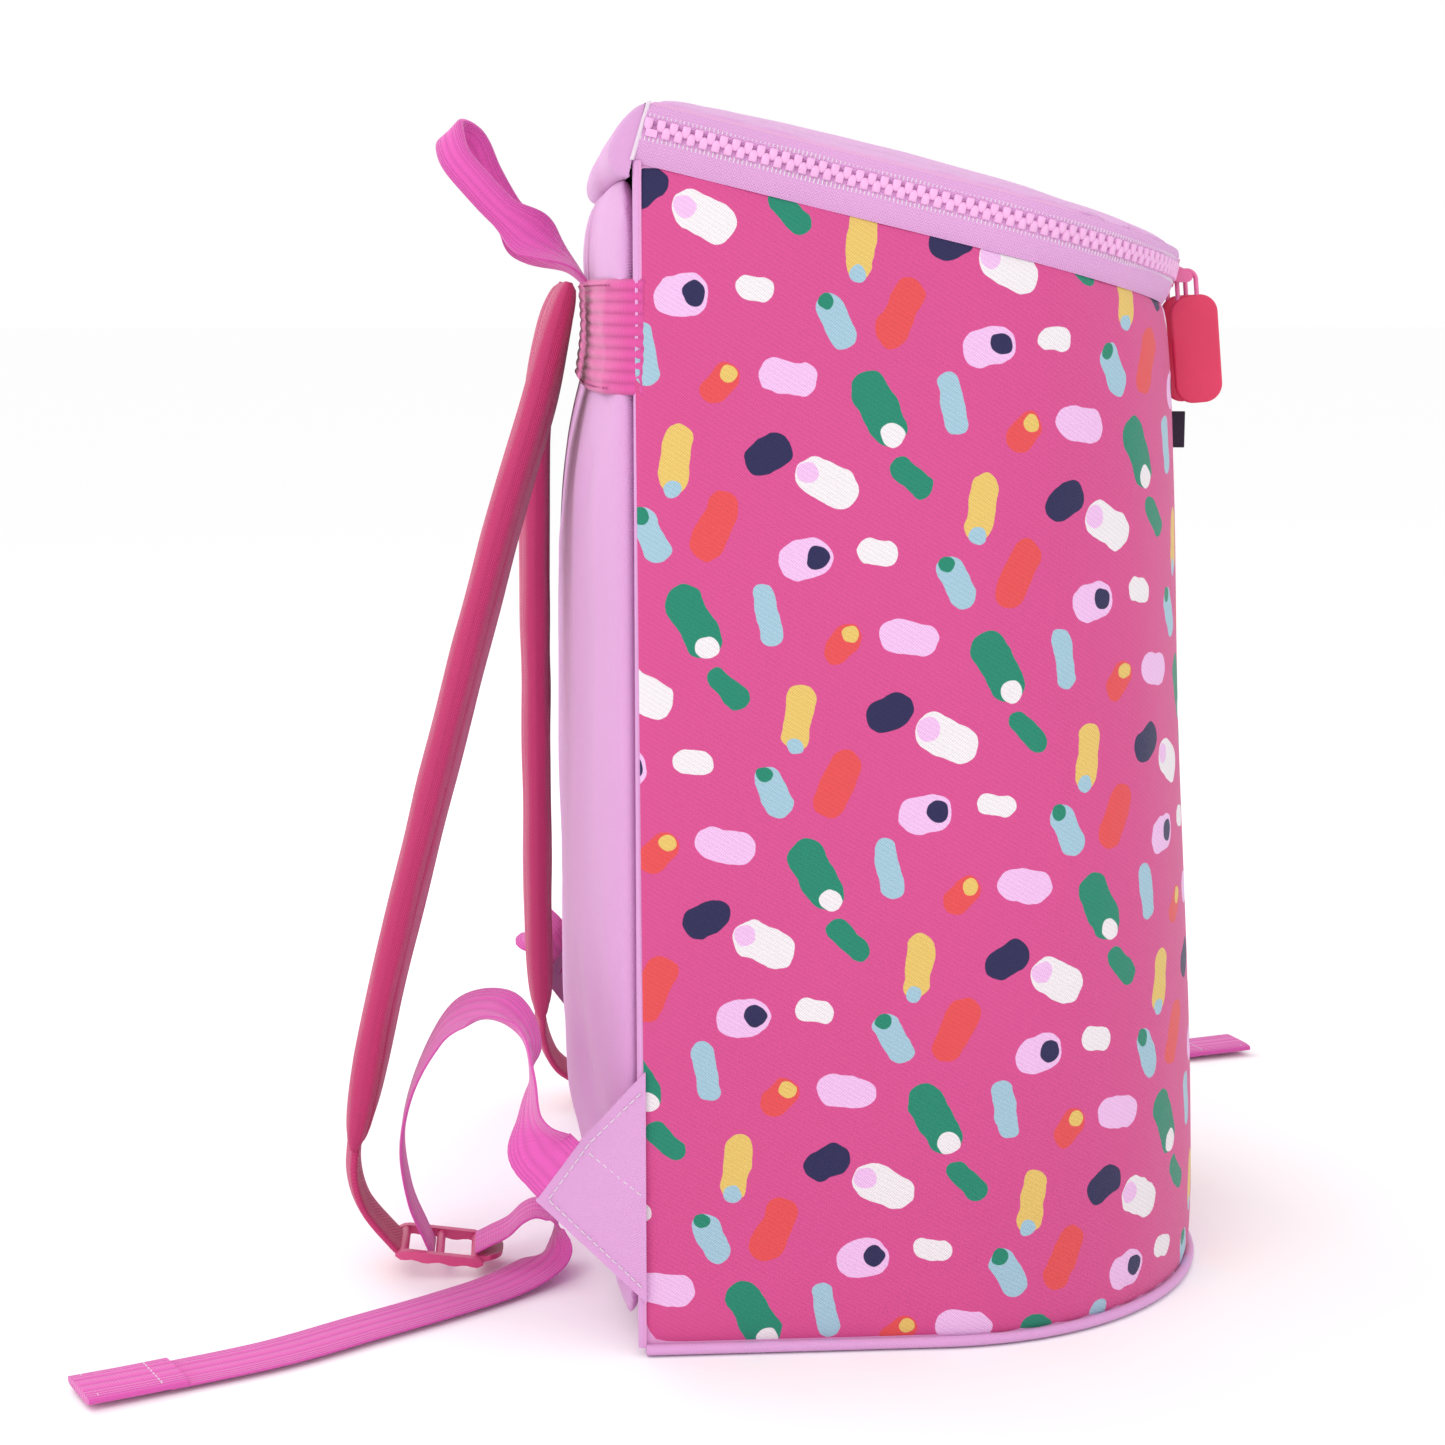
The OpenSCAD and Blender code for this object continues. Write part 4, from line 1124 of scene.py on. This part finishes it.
def makeBandPiece():
    piece = makeSheet("anchorBand", 160, 80, bandPlace, (1, 1))
    uvs = piece.data.uv_layers.active.data
    for loop in piece.data.loops:
        p = piece.data.vertices[loop.vertex_index].co
        uvs[loop.index].uv = ((p.z - bandLow.z) * 0.6, p.x + p.y)
    recalculate(piece)
    flip = piece.data.polygons[0].normal.y < 0
    applyModifier(piece, "thickness", "SOLIDIFY", thickness=band["thick"], offset=1 if flip else -1)
    shadeSmooth(piece, 60)
    finishPiece(piece, bandCloth, "bag", ["anchor_band"])
    for name, z in (("upper", bandHigh.z - band["fromEdge"]), ("lower", bandLow.z + band["fromEdge"])):
        places = []
        for i in range(band["stitches"]):
            x = (i / (band["stitches"] - 1) - 0.5) * 2 * halfWide * 0.93
            if abs(x) < band["clear"]:
                continue
            y = backY + band["off"] + padBulge(x, z, band["bulge"]) + 0.45 * mm
            places.append(facing(Vector((x, y, z)), Vector((1, 0, 0)), Vector((0, 1, 0))))
        sewn = repeated(f"bandStitches_{name}", modelStitch(*band["stitch"]), places)
        finishPiece(sewn, bandCloth, "bag")


handleShape = {
    "root": (0, 133, 393), "rise": 46, "half": 21, "length": 74,
    "folded": 13 * mm, "foldedThick": 3.6 * mm,
}


def makeHandle():
    root = Vector(handleShape["root"])
    rise = radians(handleShape["rise"])
    out, up = Vector((0, cos(rise), sin(rise))), Vector((0, -sin(rise), cos(rise)))
    half, far = handleShape["half"], handleShape["length"]
    # (x, way out, lift, how far the webbing has turned on edge)
    near = [(half, -6, 0, 0), (half, 4, 0.5, 0.1), (half - 1, far * 0.25, -2.5, 0.45),
            (half - 4, far * 0.5, -3, 1), (half - 7, far * 0.72, -1, 1), (half - 12, far * 0.9, 2, 1)]
    stops = []
    for sign, row in ((-1, near), (1, near[::-1])):
        for x, r, lift, turned in row:
            spread = sign * 4.5 * (2 * r / far - 0.8) * min(1, max(0, r / 20))
            place = root + Vector((sign * x, 0, 0)) + out * r + up * (lift + spread)
            across = Vector((-sign, 0, 0)) * (1 - turned) + up * turned
            stops.append((tuple(place), tuple(across)))
        if sign < 0:
            stops.append((tuple(root + out * far + up * 3), tuple(up)))
    route = Route(stops, 10)

    def fold(v):
        t = min(1, max(0, (0.5 - abs(v - 0.5) - 0.14) / 0.12))
        return t * t * (3 - 2 * t)

    piece = makeBand("grabHandle", route,
                     lambda v: webWide + (handleShape["folded"] - webWide) * fold(v),
                     lambda v: webThick + (handleShape["foldedThick"] - webThick) * fold(v), 160, cols=36)
    finishPiece(piece, webbing, "handle", ["grab_handle"])


makeBandPiece()
makeHandle()
print("the band and handle are made")


gusset = {
    "corners": ((0, 21), (0, 108), (23, 84), (40, 61)),     # (out from the seam, height), in millimetres
    "thick": 3 * mm, "fold": 35, "gap": 1.8 * mm,
    # sewn lines, in the same places
    "lines": (((1.5, 101), (20.5, 82.5), (35.5, 61.5), (1.5, 27)), ((21, 79), (1.5, 62))),
    "spacing": 3.2 * mm,
    "stitch": (0.55 * mm, 2.2 * mm),
}


def gussetPlace(side, y, z, lift):
    if side == "left":
        return Vector((-halfWide - lift, backY + y, z))
    turn = radians(gusset["fold"])
    x = halfWide + lift * cos(turn) + y * sin(turn)
    return Vector((x, backY + gusset["gap"] - lift * sin(turn) + y * cos(turn), z))


def makeGusset(side):
    low, high, top, tip = (Vector(c) * mm for c in gusset["corners"])

    def place(u, v):
        spot = low.lerp(high, v).lerp(tip.lerp(top, v), u)
        puff = sin(pi * u) * sin(pi * v) * 0.7 * mm + wander((spot.x, spot.y, 0), 0.012, 0.35 * mm)
        return gussetPlace(side, spot.x, spot.y, gusset["thick"] - 0.8 * mm + puff)

    piece = makeSheet(f"gusset_{side}_cloth", 40, 80, place, (40 * mm, 80 * mm))
    recalculate(piece)
    outward = gussetPlace(side, 0, 0, 1) - gussetPlace(side, 0, 0, 0)
    flip = piece.data.polygons[0].normal.dot(outward) < 0
    applyModifier(piece, "thickness", "SOLIDIFY", thickness=2.2 * mm, offset=1 if flip else -1)
    roundEdges(piece, 0.7 * mm, 2, 50)
    recalculate(piece)
    shadeSmooth(piece, 60)
    finishPiece(piece, paleCloth, "bag", [f"gusset_{side}"])
    top = gusset["thick"] - 0.3 * mm
    places = []
    for line in gusset["lines"]:
        for a, b in zip(line[:-1], line[1:]):
            a, b = Vector(a) * mm, Vector(b) * mm
            count = int((b - a).length / gusset["spacing"])
            for i in range(count):
                p = a.lerp(b, (i + 0.5) / count)
                spot = gussetPlace(side, p.x, p.y, top)
                ahead = gussetPlace(side, p.x + (b - a).x, p.y + (b - a).y, top) - spot
                places.append(facing(spot, ahead, outward))
    sewn = repeated(f"gussetStitches_{side}", modelStitch(*gusset["stitch"]), places)
    finishPiece(sewn, threadCloth, "bag")


def makeTube(name, centre, radius, length, rows, cols=12):
    # centre(v) gives a place and two directions across the tube
    def place(u, v):
        spot, a, b = centre(v)
        return spot + (a * cos(2 * pi * u) + b * sin(2 * pi * u)) * radius

    return makeSheet(name, cols, rows, place, (2 * pi * radius, length), wraps=True)


piping = {"radius": 2.0 * mm, "seamRadius": 1.6 * mm, "low": 2.2 * mm}


def makePiping():
    def centre(v):
        flat, out = outline(v, baseDepth, bag["baseCorner"], 0.0)
        spot = Vector((flat[0], backY + flat[1], piping["low"]))
        return spot, Vector((out[0], out[1], 0)), Vector((0, 0, 1))

    length = outlineLength(baseDepth, bag["baseCorner"])
    piece = makeTube("basePiping", centre, piping["radius"], length, 300)
    finishPiece(piece, paleCloth, "bag", ["bottom_piping"])


def makeSeamPiping(side, sign):
    top = onZip(0, 0, bag["tapeLow"]).z

    def centre(v):
        x = sign * (halfWide - piping["seamRadius"])
        return (Vector((x, backY + 1.4 * mm, wallLow + (top - wallLow) * v)),
                Vector((1, 0, 0)), Vector((0, 1, 0)))

    piece = makeTube(f"seamPiping_{side}", centre, piping["seamRadius"], top, 200)
    finishPiece(piece, paleCloth, "bag")


strip = {"out": 9.5 * mm, "thick": 1.4 * mm, "cord": 0.8 * mm, "end": 5 * mm}
stripLow = onZip(0, 0.3 * mm, bag["tapeLow"] - 6 * mm)
stripHigh = onZip(0, 0.3 * mm, lid["rim"] - 0.8 * mm)


def stripSpot(x, v):
    near = min(1, (halfWide - abs(x)) / strip["end"])
    side = sqrt(max(0, 1 - (1 - near) ** 2))
    bow = sin(pi * min(max(v, 0), 1) ** 0.85) ** 0.6
    spot = stripLow.lerp(stripHigh, v)
    bulge = (strip["out"] * bow + wander((x * 1.5, 0, v * 0.02), 0.03, 1.2 * mm) * bow) * side
    drop = 2 * mm * bow * (1 - v) * side
    return Vector((x, spot.y + bulge, spot.z - drop))


def makeBackStrip():
    piece = makeSheet("lidBackStrip", 140, 28, lambda u, v: stripSpot(-halfWide * cos(pi * u), v),
                      (2 * halfWide, 34 * mm))
    recalculate(piece)
    flip = piece.data.polygons[0].normal.y < 0
    applyModifier(piece, "thickness", "SOLIDIFY", thickness=strip["thick"], offset=1 if flip else -1)
    shadeSmooth(piece, 60)
    finishPiece(piece, paleCloth, None, ["lid_back_strip"])
    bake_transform(piece)
    for side, sign in (("left", -1), ("right", 1)):
        def centre(v):
            z = bag["tapeLow"] + (lid["rim"] - bag["tapeLow"]) * v
            spot = onZip(sign * (halfWide + 0.4 * mm), (0.4 - 1.2 * v) * mm, z)
            return spot, Vector((1, 0, 0)), Vector((0, 1, 0))

        cordPiece = makeTube(f"stripCord_{side}", centre, strip["cord"], 24 * mm, 24)
        finishPiece(cordPiece, threadCloth, None)
        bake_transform(cordPiece)


label = {"thick": 1.1 * mm, "edge": 0.25 * mm, "tuck": 3 * mm}


def makeLabel():
    low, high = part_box("front_label")

    def place(u, v):
        curl = sin(pi * u) * 0.6 * mm
        y = high.y + label["tuck"] - (high.y - low.y + label["tuck"]) * u
        return Vector(((low.x + high.x) / 2 + curl, y, low.z + (high.z - low.z) * v))

    piece = makeSheet("frontLabel", 16, 20, place, (8 * mm, 14 * mm), label["thick"], 0)
    roundEdges(piece, label["edge"], 2, 50)
    finishPiece(piece, labelCloth, "bag", ["front_label"])


for side in ("left", "right"):
    makeGusset(side)
makePiping()
makeSeamPiping("left", -1)
makeSeamPiping("right", 1)
makeBackStrip()
makeLabel()
print("trims are made")


buckle = {
    "width": 34 * mm, "length": 32 * mm, "rail": 3.4 * mm, "height": 4.2 * mm,
    "bar": 1.7 * mm, "tongue": 9 * mm, "wave": 0.9 * mm,
    "left": ((-51, 208, 11), 8), "right": ((172, 127, 9), 6),
}


def boxPart(name, size, centre, cuts=0):
    clearSelection()
    bpy.ops.mesh.primitive_cube_add(size=1, scale=size, location=centre)
    bpy.ops.object.transform_apply(location=True, rotation=False, scale=True)
    part = bpy.context.object
    part.name = name
    if cuts:
        bpy.ops.object.mode_set(mode="EDIT")
        bpy.ops.mesh.select_all(action="SELECT")
        bpy.ops.mesh.subdivide(number_cuts=cuts)
        bpy.ops.object.mode_set(mode="OBJECT")
    return part


def makeBuckle(side):
    wide, long = buckle["width"], buckle["length"]
    parts = []
    for sign in (-1, 1):
        x = sign * (wide - buckle["rail"]) / 2
        rail = boxPart("rail", (buckle["rail"], long + 3 * mm, buckle["height"]), (x, -long / 2, 0), 15)
        for vertex in rail.data.vertices:
            t = -vertex.co.y / long
            if vertex.co.z < 0:
                grip = buckle["wave"] * (0.5 - 0.5 * cos(t * 6 * pi))
                vertex.co.z -= grip * vertex.co.z / (buckle["height"] / 2)
            ends = min(1, max(0, (0.5 - abs(t - 0.5)) * 9 + 0.45))
            vertex.co.z *= ends ** 0.5
        parts.append(rail)
    for y, radius in ((-buckle["bar"], 1.0), (-long / 2, 0.9), (-long + buckle["bar"], 1.0)):
        clearSelection()
        bpy.ops.mesh.primitive_cylinder_add(vertices=20, radius=buckle["bar"] * radius, depth=wide - 2 * mm,
                                            location=(0, y, 0), rotation=(0, pi / 2, 0))
        bpy.ops.object.transform_apply(location=True, rotation=True, scale=True)
        bar = bpy.context.object
        for vertex in bar.data.vertices:
            vertex.co.y = y + (vertex.co.y - y) * 1.15
        parts.append(bar)
    tongue = boxPart("tongue", (webWide, buckle["tongue"] + 3 * mm, 2.2 * mm),
                     (0, -long - buckle["tongue"] / 2 + 1.5 * mm, 0.4 * mm), 9)
    for vertex in tongue.data.vertices:
        t = (-vertex.co.y - long) / buckle["tongue"]
        share = abs(vertex.co.x) / (webWide / 2)
        vertex.co.z += 1.2 * mm * max(0, t) ** 2
        vertex.co.y += max(0, t) * share ** 3 * 5 * mm
    parts.append(tongue)
    for part in parts:
        roundEdges(part, 0.7 * mm, 3, 40)
    piece = joined(f"ladderLock_{side}", parts)
    place, tilt = buckle[side]
    piece.data.transform(Matrix.Translation(Vector(place) * mm) @ Matrix.Rotation(radians(tilt), 4, "X"))
    shadeSmooth(piece, 45)
    finishPiece(piece, bucklePlastic, f"buckle_{side}", [f"buckle_{side}"])


puller = {
    "wide": 18 * mm, "long": 41 * mm, "thick": 3 * mm, "corner": 7 * mm, "round": 1.1 * mm,
    "pinOut": 8 * mm, "top": -6.35 * mm, "lean": 5,
    "leftRest": 83, "rightFromCorner": 7 * mm,
}


def pullerFrames():
    frontRun, sideRun = halfWide - bag["topCorner"], topRun - bag["topCorner"]
    zipFrame = Matrix.Translation((0, backY, rimZ)) @ Matrix.Rotation(slope, 4, "X")
    lean = Matrix.Rotation(-slope - radians(puller["lean"]), 4, "X")
    hang = Matrix.Translation((0, -puller["pinOut"], 0)) @ lean
    turn = Matrix.Rotation(radians(puller["leftRest"] - 90), 4, "Z")
    corner = turn @ Matrix.Translation((0, -bag["topCorner"], 0))
    left = zipFrame @ Matrix.Translation((-frontRun, -sideRun, 0)) @ corner
    right = zipFrame @ Matrix.Translation((puller["rightFromCorner"] - frontRun, -topRun, 0))
    return {"left": left @ hang, "right": right @ hang}


def makeTag(side, frameMatrix):
    piece = boxPart(f"pullerTag_{side}_rubber", (puller["thick"], puller["wide"], puller["long"]),
                    (0, 0, puller["top"] - puller["long"] / 2))
    pick(piece)
    bpy.ops.object.mode_set(mode="EDIT")
    shape = bmesh.from_edit_mesh(piece.data)
    for edge in shape.edges:
        run = edge.verts[0].co - edge.verts[1].co
        edge.select = abs(run.x) > 0.9 * run.length
    bmesh.update_edit_mesh(piece.data)
    bpy.ops.mesh.bevel(offset=puller["corner"], segments=10, affect="EDGES")
    bpy.ops.object.mode_set(mode="OBJECT")
    roundEdges(piece, puller["round"], 4, 50)
    piece.data.transform(frameMatrix)
    shadeSmooth(piece, 40)
    finishPiece(piece, tagRubber, f"puller_{side}", [f"puller_tag_{side}"])


for side, frameMatrix in pullerFrames().items():
    makeBuckle(side)
    makeTag(side, frameMatrix)
print("buckles and pullers are made")


kept = {
    "main_lining": liningSolid, "back_lining": liningSolid, "lid_lining": liningSolid,
    "bottom_panel": paleSolid, "bottom_board": boardStuff, "zip_end_stops": toothPlastic,
    "slider_left": sliderPaint, "slider_right": sliderPaint,
    "pull_loop_left": sliderPaint, "pull_loop_right": sliderPaint,
}
for nodeName, material in kept.items():
    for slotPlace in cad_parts[nodeName].material_slots:
        slotPlace.material = material
